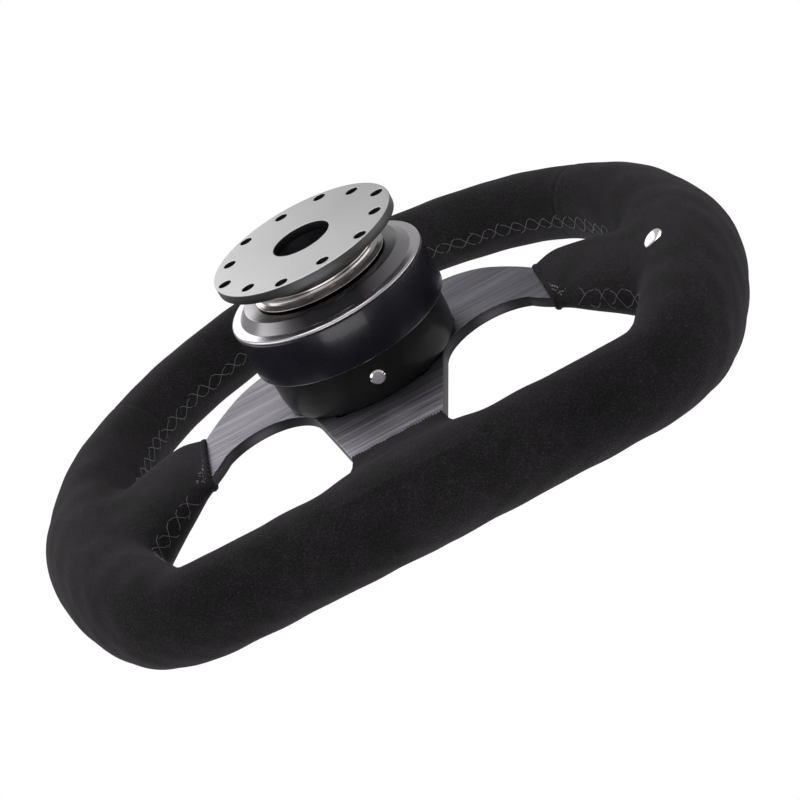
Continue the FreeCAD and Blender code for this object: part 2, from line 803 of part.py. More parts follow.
def rim_pieces(offset=0.0):
    """The right half of the rim's centre line from twelve o'clock to the flat base.

    Each piece is (kind, start, middle, end, centre); offset moves the line outward."""
    station = number("rim_plane")
    point = V(0, -station, number("rim_top") + offset)
    heading = 0.0
    pieces = []
    for part_name in ("crown", "shoulder", "side", "corner"):
        radius = number("rim_%s_rad" % part_name) + offset
        if part_name == "corner":
            turn = math.pi - heading
        else:
            turn = math.radians(number("rim_%s_turn" % part_name))
        (start, middle, end), centre = heading_arc(point, heading, radius, turn)
        pieces.append((part_name, start, middle, end, centre))
        point = end
        heading += turn
    pieces.append(("base", point, V(point.x / 2, point.y, point.z), V(0, point.y, point.z), None))
    return pieces


def mirrored(shape):
    return shape.mirror(V(0, 0, 0), V(1, 0, 0))


def swept(piece, radius, bore, share=(0.0, 1.0)):
    """One stretch of round section along a piece of the rim line, hollow if bore is given."""
    kind, start, middle, end, centre = piece
    if centre is None:
        first = start + (end - start) * share[0]
        last = start + (end - start) * share[1]
        run = last - first
        solid = Part.makeCylinder(radius, run.Length, first, run)
        if bore:
            solid = solid.cut(Part.makeCylinder(bore, run.Length, first, run))
        return solid
    spoke = start - centre
    full = spoke.getAngle(end - centre)
    turn = FreeCAD.Rotation(V(0, 1, 0), math.degrees(full * share[0]))
    spoke = turn.multVec(spoke)
    tangent = V(0, 1, 0).cross(spoke)
    disc = Part.Face(Part.Wire(Part.makeCircle(radius, centre + spoke, tangent)))
    if bore:
        disc = disc.cut(Part.Face(Part.Wire(Part.makeCircle(bore, centre + spoke, tangent))))
    return disc.revolve(centre, V(0, 1, 0), math.degrees(full * (share[1] - share[0])))


def fused(shapes):
    whole = shapes[0].multiFuse(shapes[1:]) if len(shapes) > 1 else shapes[0]
    whole = whole.removeSplitter()
    return whole.Solids[0] if len(whole.Solids) == 1 else whole


SIDE_START = 0.45    # share of the shoulder arc at which the thicker side grip begins


def rim_stretches(radii, wall=0.0):
    """Top, right side and base stretches of the grip, as lists of solids on the right half."""
    pieces = {piece[0]: piece for piece in rim_pieces()}

    def stretch(name, radius, share=(0.0, 1.0)):
        return swept(pieces[name], radius, radius - wall if wall else 0, share)

    top, side, base = radii
    return {
        "top": [stretch("crown", top), stretch("shoulder", top, (0.0, SIDE_START))],
        "side": [stretch("shoulder", side, (SIDE_START, 1.0)), stretch("side", side)],
        "base": [stretch("corner", base), stretch("base", base)],
    }


def band_outline(offset):
    """A closed wire that follows the rim line at an offset, in the plane of the plate's back."""
    shift = V(0, number("rim_plane") - number("plate_back"), 0)
    edges = []
    for kind, start, middle, end, centre in rim_pieces(offset):
        if centre is None:
            edges.append(Part.makeLine(start + shift, end + shift))
        else:
            edges.append(Part.Arc(start + shift, middle + shift, end + shift).toShape())
    right = Part.Wire(edges)
    left = mirrored(right)
    return Part.Wire(Part.__sortEdges__(right.Edges + left.Edges))


# ---------------------------------------------------------------- spoke plate
def at_back(across, up):
    return V(across, -number("plate_back"), up)


def plate_solid(wire):
    return Part.Face(wire).extrude(V(0, -number("plate_thick"), 0))


def shifted(point, degrees, length):
    """A point moved in the wheel plane along a heading measured from +X toward +Z."""
    angle = math.radians(degrees)
    return point + V(math.cos(angle), 0, math.sin(angle)) * length


# corners of the right half of the spoke plate, across and up from the wheel's centre
CROWN = (0.0, 47.5)
SHOULDER = [(42.3, 43.4), (56.6, 37.9), (66.6, 28.8)]
SPOKE_TOP = [(81.0, 8.0), (101.0, -10.0), (139.0, -14.0)]
SPOKE_FOOT = [(133.0, -52.0), (101.0, -45.0)]
BASE_SPOKE = [(19.6, -78.0), (24.0, -108.0)]
ARCH_CENTRE = (54.5, -34.0)
ARCH_RAD = 25.4
ARCH_ENDS = (45.0, 90.0, 166.0)    # headings of the arch's outer end, crown and inner end


def spoke_outline():
    """The two side spokes and the base spoke as one closed outline."""
    shoulder = [at_back(*point) for point in SHOULDER]
    top = [at_back(*point) for point in SPOKE_TOP]
    foot = [at_back(*point) for point in SPOKE_FOOT]
    base = [at_back(*point) for point in BASE_SPOKE]
    arch = [shifted(at_back(*ARCH_CENTRE), heading, ARCH_RAD) for heading in ARCH_ENDS]
    opposite = V(-shoulder[0].x, shoulder[0].y, shoulder[0].z)
    crown = Part.Arc(opposite, at_back(*CROWN), shoulder[0]).toShape()
    half = Part.Wire([
        Part.Arc(*shoulder).toShape(),
        Part.makeLine(shoulder[2], top[0]),
        Part.Arc(*top).toShape(),
        Part.makeLine(top[2], foot[0]),
        Part.Arc(foot[0], foot[1], arch[0]).toShape(),
        Part.Arc(*arch).toShape(),
        Part.makeLine(arch[2], base[0]),
        Part.makeLine(base[0], base[1]),
    ])
    floor = Part.makeLine(base[1], V(-base[1].x, base[1].y, base[1].z))
    edges = [crown] + half.Edges + mirrored(half).Edges + [floor]
    return Part.Wire(Part.__sortEdges__(edges))


def spoke_plate_solid():
    width = number("hoop_half_width")
    hoop = plate_solid(band_outline(width)).cut(plate_solid(band_outline(-width)))
    plate = hoop.fuse(plate_solid(spoke_outline()))
    start = V(0, -number("plate_back") + 1, 0)
    depth = number("plate_thick") + 2
    plate = plate.cut(Part.makeCylinder(number("plate_bore_rad"), depth, start, V(0, -1, 0)))
    clear = number("wheel_screw_clear")
    sink = number("wheel_screw_head_rad") - number("wheel_screw_rad") + 0.15
    for i in range(6):
        angle = math.radians(60 * i)
        hole = start + V(math.cos(angle), 0, math.sin(angle)) * number("pitch_rad_a")
        plate = plate.cut(Part.makeCylinder(clear, depth, hole, V(0, -1, 0)))
        face = V(hole.x, -number("plate_back + plate_thick"), hole.z)
        plate = plate.cut(Part.makeCone(clear + sink, clear, sink, face, V(0, 1, 0)))
    for i in range(3):
        angle = math.radians(90 + 120 * i)
        hole = start + V(math.cos(angle), 0, math.sin(angle)) * number("ring_screw_pitch")
        radius = number("ring_screw_rad") + 0.05
        plate = plate.cut(Part.makeCylinder(radius, depth, hole, V(0, -1, 0)))
    return plate.removeSplitter().Solids[0]


# ---------------------------------------------------------------- padding and covers
def oval(centre, half_up, half_deep):
    """An upright oval section across a side spoke."""
    if half_up >= half_deep:
        ellipse = Part.Ellipse(centre + V(0, 0, half_up), centre + V(0, half_deep, 0), centre)
    else:
        ellipse = Part.Ellipse(centre + V(0, half_deep, 0), centre + V(0, 0, half_up), centre)
    return Part.Wire(ellipse.toShape())


# sections of the thumb pad: across, up, rise toward the driver, half height, half depth
THUMB_SECTIONS = [
    (83.0, -9.0, 0.0, 23.0, 4.4),
    (100.0, -19.0, 2.0, 28.0, 9.5),
    (126.0, -33.0, 5.0, 35.0, 14.5),
]
# ends of the base pad: height, half width and rise above each face of the plate
BASE_PAD_ENDS = [(-76.0, 21.0, 0.8), (-95.0, 29.0, 6.0)]


def thumb_pad_solid(keep_out):
    """The right-hand wedge of padding that fairs the spoke into the rim."""
    middle = number("plate_back + plate_thick / 2")
    sections = []
    for across, up, rise, half_up, half_deep in THUMB_SECTIONS:
        sections.append(oval(V(across, -middle - rise, up), half_up, half_deep))
    pad = Part.makeLoft(sections, True, False)
    return pad.cut(keep_out).Solids[0]


def base_pad_solid(keep_out):
    """The wedge of padding where the base spoke runs into the flat base of the rim."""
    back = -number("plate_back")
    front = back - number("plate_thick")

    def slab(up, half_width, rise):
        corners = [
            V(-half_width, back + rise, up),
            V(half_width, back + rise, up),
            V(half_width, front - rise, up),
            V(-half_width, front - rise, up),
        ]
        return Part.makePolygon(corners + corners[:1])

    pad = Part.makeLoft([slab(*end) for end in BASE_PAD_ENDS], True, True)
    return pad.cut(keep_out).Solids[0]


def shaped(name, solid):
    item = document.addObject("Part::Feature", name)
    item.Label = name
    item.Shape = solid
    item.Placement = FreeCAD.Placement()
    return keep(item)


def rivet_head():
    """The small metal disc let into the column side of the left grip."""
    seat = number("grip_side_rad - rim_plane - rivet_sink")
    place = V(-number("rivet_across"), seat, -number("rivet_drop"))
    return Part.makeCylinder(number("rivet_rad"), number("rivet_thick"), place, V(0, 1, 0))


def rim_parts():
    plate = spoke_plate_solid()
    shaped("spoke_plate", plate)
    wall = number("cover_thick")
    radii = [number("grip_%s_rad" % place) for place in ("top", "side", "base")]
    skins = rim_stretches(radii, wall)
    cores = rim_stretches([radius - wall for radius in radii])
    core_list = cores["top"] + cores["side"] + cores["base"]
    core_list += [mirrored(solid) for solid in core_list]
    head = rivet_head()
    shaped("rim_foam", fused(core_list).cut(plate).cut(head).Solids[0])
    top = skins["top"] + [mirrored(solid) for solid in skins["top"]]
    shaped("cover_top", fused(top))
    side = fused(skins["side"]).cut(plate)
    shaped("cover_right", side.Solids[0])
    shaped("cover_left", mirrored(side.Solids[0]).cut(head).Solids[0])
    shaped("cover_rivet", head)
    base = skins["base"] + [mirrored(solid) for solid in skins["base"]]
    shaped("cover_base", fused(base).cut(plate).Solids[0])
    outer = rim_stretches(radii)
    outer_side = fused(outer["side"] + outer["base"][:1])
    pad = thumb_pad_solid(plate.fuse(outer_side))
    shaped("thumb_pad_right", pad)
    shaped("thumb_pad_left", mirrored(pad))
    outer_base = fused(outer["base"] + [mirrored(solid) for solid in outer["base"]])
    shaped("base_pad", base_pad_solid(plate.fuse(outer_base)))


# ---------------------------------------------------------------- build
column_flange()
flange_neck()
splined_spigot()
column_contacts()
release_collar()
collar_cap()
cam_ring()
quick_release_housing()
spline_socket()
ball_cage()
snap_ring()
lock_button()
horn_parts()
fasteners()
locking_balls()
springs()
horn_terminals()
rim_parts()
document.recompute()

faults = []
for item in document.Objects:
    if "Invalid" in item.State or "Error" in item.State:
        faults.append("%s is %s" % (item.Name, item.State))
    if item.TypeId in ("PartDesign::Pocket", "PartDesign::Groove"):
        before = item.BaseFeature.Shape.Volume
        if item.Shape.Volume > before - 0.01:
            faults.append("%s cuts nothing" % item.Name)
for item in nodes:
    if item.Shape.isNull() or not item.Shape.isValid():
        faults.append("%s has no valid shape" % item.Label)
if faults:
    raise SystemExit("\n".join(faults))

os.makedirs("parts", exist_ok=True)
for item in nodes:
    item.Shape.exportStep("parts/%s.step" % item.Label)
    print("%-22s %2d solid(s) %10.1f mm3" % (item.Label, len(item.Shape.Solids), item.Shape.Volume))
print(len(nodes), "nodes")
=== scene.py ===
import math

import bpy
import numpy as np
import openvdb
from mathutils import Matrix, Vector


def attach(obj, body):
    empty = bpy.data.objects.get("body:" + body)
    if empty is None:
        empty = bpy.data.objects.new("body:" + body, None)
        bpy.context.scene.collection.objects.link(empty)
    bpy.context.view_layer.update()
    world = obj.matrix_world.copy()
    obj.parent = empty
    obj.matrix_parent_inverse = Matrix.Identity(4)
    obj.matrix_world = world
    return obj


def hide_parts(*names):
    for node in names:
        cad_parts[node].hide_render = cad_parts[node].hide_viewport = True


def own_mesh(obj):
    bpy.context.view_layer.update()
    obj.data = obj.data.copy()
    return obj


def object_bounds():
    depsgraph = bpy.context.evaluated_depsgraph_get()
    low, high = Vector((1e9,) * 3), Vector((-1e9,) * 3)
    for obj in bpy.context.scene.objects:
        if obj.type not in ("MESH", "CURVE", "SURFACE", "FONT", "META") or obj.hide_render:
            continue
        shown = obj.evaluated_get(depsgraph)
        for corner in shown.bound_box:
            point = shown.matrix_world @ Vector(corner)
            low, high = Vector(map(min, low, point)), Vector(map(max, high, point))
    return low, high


# Quick release steering wheel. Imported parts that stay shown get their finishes. The metal that
# shows most, the springs, the padded suede grip, its hems and its stitching are modelled here.
# Camera, lights and shaders work in metres. Shapes work in millimetres on (X, station, Z), where
# a station s lies at Y = -s.

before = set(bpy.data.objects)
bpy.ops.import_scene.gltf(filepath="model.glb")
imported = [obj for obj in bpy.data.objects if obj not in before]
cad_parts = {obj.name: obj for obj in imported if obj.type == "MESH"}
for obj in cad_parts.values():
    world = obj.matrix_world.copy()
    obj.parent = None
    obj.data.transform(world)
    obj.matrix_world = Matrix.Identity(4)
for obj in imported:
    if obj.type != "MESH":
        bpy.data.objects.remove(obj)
cad_low, cad_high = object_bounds()
scene = bpy.context.scene

MM = 0.001


# ---------------------------------------------------------------- camera
CAMERA_PLACE = Vector((-0.0512, 0.2717, -0.7452))
CAMERA_RIGHT = Vector((-0.8831, -0.4424, -0.1560))
CAMERA_UP = Vector((-0.4655, 0.7851, 0.4087))
CAMERA_LENS = 85.5
SENSOR = 36.0
FOCUS = Vector((0.0, -0.050, 0.004))

right = CAMERA_RIGHT.normalized()
back = right.cross(CAMERA_UP).normalized()
up = back.cross(right)

camera_data = bpy.data.cameras.new("camera")
camera_data.lens = CAMERA_LENS
camera_data.sensor_width = SENSOR
camera_data.clip_start = 0.01
camera_data.clip_end = 50.0
camera = bpy.data.objects.new("camera", camera_data)
camera_turn = Matrix((right, up, back)).transposed().to_4x4()
camera.matrix_world = Matrix.Translation(CAMERA_PLACE) @ camera_turn
scene.collection.objects.link(camera)
scene.camera = camera


# ---------------------------------------------------------------- studio
scene.view_settings.view_transform = "Standard"

FLOOR_DROP = 1.25      # the object is held in the air, so the floor lies well below it
FLOOR_SIDE = 14.0
WORLD_GLOW = 0.55
# Metres across, up and toward the camera from the focus, width and height, and power.
LIGHTS = {
    "key_light": (-0.67, 1.04, 0.20, 0.9, 0.9, 9.0),
    "left_strip": (-1.25, -0.05, 0.15, 0.8, 1.4, 7.0),
    "right_strip": (1.25, 0.35, 0.10, 0.6, 1.4, 5.0),
    "low_fill": (0.35, -1.0, 0.85, 1.2, 0.7, 8.5),
    "plate_glow": (-0.72, 0.59, -0.71, 0.5, 0.5, 1.9),
    "driver_fill": (0.60, -1.00, -1.00, 0.6, 0.6, 4.0),
}


def studio_world():
    """White behind the object, and a softer grey for what the object mirrors."""
    world = bpy.data.worlds.new("studio")
    world.use_nodes = True
    nodes, links = world.node_tree.nodes, world.node_tree.links
    nodes.clear()
    output = nodes.new("ShaderNodeOutputWorld")
    seen = nodes.new("ShaderNodeBackground")
    seen.inputs["Color"].default_value = (1, 1, 1, 1)
    lit = nodes.new("ShaderNodeBackground")
    lit.inputs["Color"].default_value = (1, 1, 1, 1)
    lit.inputs["Strength"].default_value = WORLD_GLOW
    ray = nodes.new("ShaderNodeLightPath")
    mix = nodes.new("ShaderNodeMixShader")
    links.new(ray.outputs["Is Camera Ray"], mix.inputs[0])
    links.new(lit.outputs[0], mix.inputs[1])
    links.new(seen.outputs[0], mix.inputs[2])
    links.new(mix.outputs[0], output.inputs["Surface"])
    scene.world = world


def area_light(name, across, high, near, width, height, power):
    """A soft box placed about the object, as seen from the camera, and turned to the object."""
    data = bpy.data.lights.new(name, "AREA")
    data.shape = "RECTANGLE"
    data.size = width
    data.size_y = height
    data.energy = power
    light = bpy.data.objects.new(name, data)
    light.location = FOCUS + right * across + up * high + back * near
    light.rotation_mode = "QUATERNION"
    light.rotation_quaternion = (FOCUS - light.location).to_track_quat("-Z", "Y")
    scene.collection.objects.link(light)


def studio_floor():
    """A plain pale floor."""
    mesh = bpy.data.meshes.new("floor")
    half = FLOOR_SIDE / 2
    level = cad_low.z - FLOOR_DROP
    corners = [(x * half, y * half, level) for x, y in ((-1, -1), (1, -1), (1, 1), (-1, 1))]
    mesh.from_pydata(corners, [], [(0, 1, 2, 3)])
    floor = bpy.data.objects.new("floor", mesh)
    scene.collection.objects.link(floor)
    material = bpy.data.materials.new("pale_floor")
    material.use_nodes = True
    shader = material.node_tree.nodes["Principled BSDF"]
    shader.inputs["Base Color"].default_value = (0.86, 0.86, 0.86, 1)
    shader.inputs["Roughness"].default_value = 0.8
    mesh.materials.append(material)


studio_world()
studio_floor()
for light_name, settings in LIGHTS.items():
    area_light(light_name, *settings)


# ---------------------------------------------------------------- material helpers
NOISE_SPAN = (0.3, 0.7)       # most noise values lie in here
NOISE_CORE = (0.35, 0.65)     # a narrower part of them, for more contrast
FLAT_SPAN = (0.4, 0.9)        # from a wall to a face, by how far it looks along the axis


class Finish:
    """A material under construction: a principled shader and short words for its nodes."""

    def __init__(self, name):
        self.material = bpy.data.materials.new(name)
        self.material.use_nodes = True
        self.nodes = self.material.node_tree.nodes
        self.links = self.material.node_tree.links
        self.shader = self.nodes["Principled BSDF"]
        self.place = self.nodes.new("ShaderNodeTexCoord").outputs["Object"]

    def plain(self, **values):
        """Constants, set on the shader's own sockets."""
        for word, value in values.items():
            self.shader.inputs[word.replace("_", " ")].default_value = value
        return self

    def scaled(self, scale):
        mapping = self.nodes.new("ShaderNodeMapping")
        mapping.inputs["Scale"].default_value = scale
        self.links.new(self.place, mapping.inputs["Vector"])
        return mapping.outputs["Vector"]

    def noise(self, scale, detail=3.0, roughness=0.55, place=None):
        node = self.nodes.new("ShaderNodeTexNoise")
        node.inputs["Scale"].default_value = scale
        node.inputs["Detail"].default_value = detail
        node.inputs["Roughness"].default_value = roughness
        self.links.new(place or self.place, node.inputs["Vector"])
        return node.outputs["Fac"]

    def ramp(self, value, low, high, start, end):
        """Maps a value between low and high to a number or colour between start and end."""
        if isinstance(start, tuple):
            return self.blend(self.ramp(value, low, high, 0.0, 1.0), start, end)
        node = self.nodes.new("ShaderNodeMapRange")
        node.clamp = True
        ends = {"From Min": low, "From Max": high, "To Min": start, "To Max": end}
        for socket, number in ends.items():
            node.inputs[socket].default_value = number
        self.links.new(value, node.inputs["Value"])
        return node.outputs["Result"]

    def math(self, kind, first, second=None):
        node = self.nodes.new("ShaderNodeMath")
        node.operation = kind
        for i, value in enumerate((first, second)):
            if value is None:
                continue
            if isinstance(value, (int, float)):
                node.inputs[i].default_value = value
            else:
                self.links.new(value, node.inputs[i])
        return node.outputs[0]

    def blend(self, share, first, second, kind="MIX"):
        """Mixes two colours, each a socket or a triple."""
        node = self.nodes.new("ShaderNodeMix")
        node.data_type = "RGBA"
        node.blend_type = kind
        factor, colour_a, colour_b = node.inputs["Factor"], node.inputs[6], node.inputs[7]
        for socket, value in ((factor, share), (colour_a, first), (colour_b, second)):
            if isinstance(value, tuple):
                socket.default_value = (*value, 1)
            elif isinstance(value, (int, float)):
                socket.default_value = value
            else:
                self.links.new(value, socket)
        return node.outputs[2]

    def feed(self, socket, value):
        self.links.new(value, self.shader.inputs[socket])
        return self

    def bump(self, height, distance, strength=1.0, under=None):
        node = self.nodes.new("ShaderNodeBump")
        node.inputs["Distance"].default_value = distance
        node.inputs["Strength"].default_value = strength
        self.links.new(height, node.inputs["Height"])
        if under:
            self.links.new(under, node.inputs["Normal"])
        self.links.new(node.outputs["Normal"], self.shader.inputs["Normal"])
        return node.outputs["Normal"]

    def parts(self):
        """X, Y and Z of the place on the object."""
        node = self.nodes.new("ShaderNodeSeparateXYZ")
        self.links.new(self.place, node.inputs[0])
        return node.outputs

    def from_axis(self):
        """Distance from the release's axis, in metres."""
        x, _, z = self.parts()
        squares = self.math("ADD", self.math("MULTIPLY", x, x), self.math("MULTIPLY", z, z))
        return self.math("SQRT", squares)

    def flatness(self):
        """1 on faces that look along the axis, 0 on walls that stand along it."""
        normal = self.nodes.new("ShaderNodeNewGeometry").outputs["True Normal"]
        node = self.nodes.new("ShaderNodeSeparateXYZ")
        self.links.new(normal, node.inputs[0])
        return self.ramp(self.math("ABSOLUTE", node.outputs[1]), *FLAT_SPAN, 0.0, 1.0)


# ---------------------------------------------------------------- metal and plastic finishes
# Bands in metres where one shade passes into the next.
FLANGE_EDGE = (0.0395, 0.0402)        # from the axis
CAP_LIP = (0.0399, 0.0402)            # from the axis
# Painted reflection on the cap: darkest at the middle, brighter towards both sides along X.
CAP_PAINTED_REFLECTION = (0.012, 0.036)            # from the middle, along X
COLLAR_EDGE = (0.04385, 0.04395)      # station
# Painted light on the plate: painted shade darker towards -X, and a painted highlight brighter on the base
# spoke.
PLATE_PAINTED_SHADE_X = (-0.09, 0.03)            # along X
PLATE_PAINTED_HIGHLIGHT_Z = (-0.080, -0.038)         # along Z
CUT_ROUGHNESS = 0.42
COLLAR_BLACK = (0.006, 0.006, 0.010)


def turned_metal(name, colour, roughness, wear=0.05, grooves=0.0):
    """Metal off a lathe: fine rings about the axis and slight stains in the gloss."""
    finish = Finish(name)
    finish.plain(Metallic=1.0)
    stain = finish.noise(60.0, 4.0)
    finish.feed("Roughness", finish.ramp(stain, *NOISE_SPAN, roughness, roughness + wear))
    pale = tuple(min(1.0, part * 1.12) for part in colour)
    finish.feed("Base Color", finish.ramp(finish.noise(25.0), *NOISE_CORE, colour, pale))
    if grooves:
        x, y, z = finish.parts()
        ring = finish.nodes.new("ShaderNodeCombineXYZ")
        finish.links.new(finish.from_axis(), ring.inputs[0])
        finish.links.new(y, ring.inputs[1])
        finish.bump(finish.noise(5200.0, 1.0, 0.5, ring.outputs[0]), grooves, 0.5)
    return finish


def flange_metal():
    """Satin blasted face; walls, edge and drilled holes are darker."""
    finish = Finish("flange_satin")
    finish.plain(Metallic=1.0)
    grain = finish.noise(2600.0, 2.0)
    face = finish.ramp(finish.noise(18.0, 2.0), *NOISE_SPAN, (0.40, 0.40, 0.405), (0.45, 0.45, 0.455))
    rim = finish.ramp(finish.from_axis(), *FLANGE_EDGE, 0.0, 1.0)
    wall = finish.blend(rim, (0.05, 0.05, 0.053), (0.06, 0.06, 0.062))
    flat = finish.flatness()
    finish.feed("Base Color", finish.blend(flat, wall, face))
    finish.feed("Roughness", finish.ramp(grain, *NOISE_SPAN, 0.38, 0.48))
    finish.bump(grain, 0.00003, 0.4)
    return finish


def cap_metal():
    """Smoked chrome with a bright lip; its bevelled face across X has painted reflection, dark in the middle
    and brighter at both sides, fitted to the photograph.
    """
    finish = turned_metal("smoked_chrome_cap_painted_reflection", (0.13, 0.125, 0.135), 0.22, 0.06)
    lip = finish.ramp(finish.from_axis(), *CAP_LIP, 0.0, 1.0)
    across = finish.math("ABSOLUTE", finish.parts()[0])
    # Painted reflection: the cap's colour runs from dark at the middle to brighter at both sides along X.
    bevel_painted_reflection = finish.ramp(across, *CAP_PAINTED_REFLECTION, (0.035, 0.033, 0.037), (0.25, 0.24, 0.25))
    finish.feed("Base Color", finish.blend(lip, bevel_painted_reflection, (0.46, 0.44, 0.47)))
    return finish


def anodised(name, colour, roughness, coat):
    """Dyed aluminium or hard black paint: fine grain under a thin clear gloss."""
    finish = Finish(name)
    finish.plain(Metallic=0.0, Coat_Weight=coat, Coat_Roughness=0.12, IOR=1.5, Specular_IOR_Level=0.22)
    stain = finish.noise(45.0, 5.0, 0.6)
    finish.feed("Roughness", finish.ramp(stain, *NOISE_SPAN, roughness, roughness + 0.08))
    pale = tuple(part * 1.5 + 0.002 for part in colour)
    finish.feed("Base Color", finish.ramp(finish.noise(30.0, 3.0), *NOISE_SPAN, colour, pale))
    finish.bump(finish.noise(3000.0, 1.0), 0.00001, 0.3)
    return finish


def collar_finish():
    """Gloss black sleeve with a bright machined edge at its driver's end."""
    finish = anodised("gloss_black_anodised", COLLAR_BLACK, 0.24, 0.30)
    station = finish.math("MULTIPLY", finish.parts()[1], -1.0)
    edge = finish.ramp(station, *COLLAR_EDGE, 0.0, 1.0)
    stain = finish.noise(30.0, 3.0)
    black = finish.ramp(stain, *NOISE_SPAN, COLLAR_BLACK, (0.011, 0.011, 0.017))
    finish.feed("Base Color", finish.blend(edge, black, (0.55, 0.55, 0.56)))
    finish.feed("Metallic", edge)
    return finish


def brushed_plate():
    """Gunmetal plate brushed along X, with darker cut walls.

    Painted light over the plate, fitted to the photograph: painted shade darker towards -X and a painted
    highlight on the base spoke."""
    finish = Finish("brushed_gunmetal_painted_light")
    finish.plain(Metallic=1.0)
    fine = finish.noise(1.0, 3.0, 0.7, finish.scaled((28.0, 28.0, 2600.0)))
    broad = finish.noise(1.0, 2.0, 0.6, finish.scaled((9.0, 9.0, 420.0)))
    lines = finish.math("ADD", finish.math("MULTIPLY", fine, 0.65), finish.math("MULTIPLY", broad, 0.35))
    face = finish.ramp(lines, 0.41, 0.59, (0.085, 0.082, 0.094), (0.26, 0.25, 0.283))
    x, _, z = finish.parts()
    # Painted shade darker towards -X, and a painted highlight three times brighter on the base spoke.
    sideways = finish.ramp(x, *PLATE_PAINTED_SHADE_X, (0.42, 0.42, 0.44), (1.0, 0.99, 1.0))
    below = finish.ramp(z, *PLATE_PAINTED_HIGHLIGHT_Z, (3.2, 3.2, 3.1), (1.0, 1.0, 1.0))
    for shade in (sideways, below):
        face = finish.blend(1.0, face, shade, "MULTIPLY")
    flat = finish.flatness()
    finish.feed("Base Color", finish.blend(flat, (0.035, 0.033, 0.038), face))
    rough = finish.math("MULTIPLY", finish.ramp(lines, *NOISE_SPAN, 0.42, 0.56), flat)
    cut = finish.ramp(flat, 0.0, 1.0, CUT_ROUGHNESS, 0.0)
    finish.feed("Roughness", finish.math("ADD", rough, cut))
    finish.bump(finish.math("MULTIPLY", lines, flat), 0.00004, 0.35)
    return finish


def moulded(name, colour, roughness):
    """Moulded plastic with a fine pebbled skin."""
    finish = Finish(name)
    finish.plain(IOR=1.48)
    pale = tuple(part * 1.4 + 0.003 for part in colour)
    finish.feed("Base Color", finish.ramp(finish.noise(40.0, 4.0), *NOISE_CORE, colour, pale))
    finish.feed("Roughness", finish.ramp(finish.noise(90.0), *NOISE_SPAN, roughness, roughness + 0.12))
    cell = finish.nodes.new("ShaderNodeTexVoronoi")
    cell.inputs["Scale"].default_value = 900.0
    finish.links.new(finish.place, cell.inputs["Vector"])
    finish.bump(cell.outputs["Distance"], 0.00006, 0.5)
    return finish


def suede():
    """Black suede: mottled nap, fine grain, pale fibres and a soft sheen at grazing light."""
    finish = Finish("black_suede")
    finish.plain(Sheen_Weight=0.07, Sheen_Roughness=0.5, Specular_IOR_Level=0.10)
    finish.plain(Sheen_Tint=(0.78, 0.70, 0.78, 1.0))
    cloud = finish.noise(28.0, 5.0, 0.6)
    tint = finish.noise(55.0, 3.0, 0.6)
    grain = finish.noise(1350.0, 4.0, 0.75)
    mottle = finish.noise(170.0, 4.0, 0.65)
    dark = finish.ramp(tint, 0.40, 0.60, (0.0072, 0.0071, 0.0072), (0.0076, 0.0064, 0.0080))
    pale = finish.ramp(tint, 0.40, 0.60, (0.0162, 0.0158, 0.0158), (0.0168, 0.0140, 0.0172))
    ground = finish.blend(finish.ramp(cloud, 0.32, 0.68, 0.0, 1.0), dark, pale)
    brushed = finish.ramp(mottle, 0.35, 0.70, (0.65, 0.65, 0.65), (1.15, 1.15, 1.15))
    ground = finish.blend(1.0, ground, brushed, "MULTIPLY")
    fibre = finish.ramp(grain, 0.36, 0.66, (0.30, 0.30, 0.30), (1.35, 1.35, 1.35))
    ground = finish.blend(1.0, ground, fibre, "MULTIPLY")
    speck = finish.ramp(grain, 0.58, 0.72, 0.0, 0.50)
    finish.feed("Base Color", finish.blend(speck, ground, (0.048, 0.045, 0.047)))
    finish.feed("Roughness", finish.ramp(mottle, *NOISE_SPAN, 0.86, 0.99))
    coarse = finish.bump(mottle, 0.00022, 0.5)
    finish.bump(grain, 0.00030, 0.9, coarse)
    return finish


def thread():
    """Dull grey thread of the stitching."""
    finish = Finish("grey_thread")
    finish.plain(Sheen_Weight=0.3, Sheen_Roughness=0.4)
    twist = finish.noise(2500.0, 2.0)
    finish.feed("Base Color", finish.ramp(twist, *NOISE_SPAN, (0.030, 0.030, 0.033), (0.085, 0.085, 0.092)))
    finish.feed("Roughness", finish.ramp(twist, *NOISE_SPAN, 0.6, 0.85))
    finish.bump(twist, 0.00005, 0.6)
    return finish


FINISHES = {
    "column_flange": flange_metal(),
    "flange_neck": turned_metal("smoked_neck", (0.36, 0.335, 0.33), 0.18, 0.06, 0.000006),
    "collar_cap": cap_metal(),
    "splined_spigot": turned_metal("ground_steel", (0.34, 0.34, 0.36), 0.22, 0.1, 0.00001),
    "release_collar": collar_finish(),
    "quick_release_housing": anodised("satin_black_anodised", (0.0055, 0.0055, 0.006), 0.32, 0.10),
    "spoke_plate": brushed_plate(),
    "horn_ring": anodised("ring_black_anodised", (0.010, 0.010, 0.012), 0.35, 0.2),
}
MOULDED_BLACK = moulded("moulded_black", (0.012, 0.012, 0.013), 0.50)
NYLON = moulded("natural_nylon", (0.52, 0.50, 0.44), 0.45)
STEEL = turned_metal("spring_steel", (0.30, 0.30, 0.32), 0.25, 0.1)
BRIGHT = turned_metal("polished_steel", (0.72, 0.71, 0.70), 0.08, 0.05)
BRASS = turned_metal("contact_brass", (0.62, 0.45, 0.17), 0.22, 0.1)
OXIDE = turned_metal("black_oxide", (0.035, 0.035, 0.038), 0.35, 0.1)
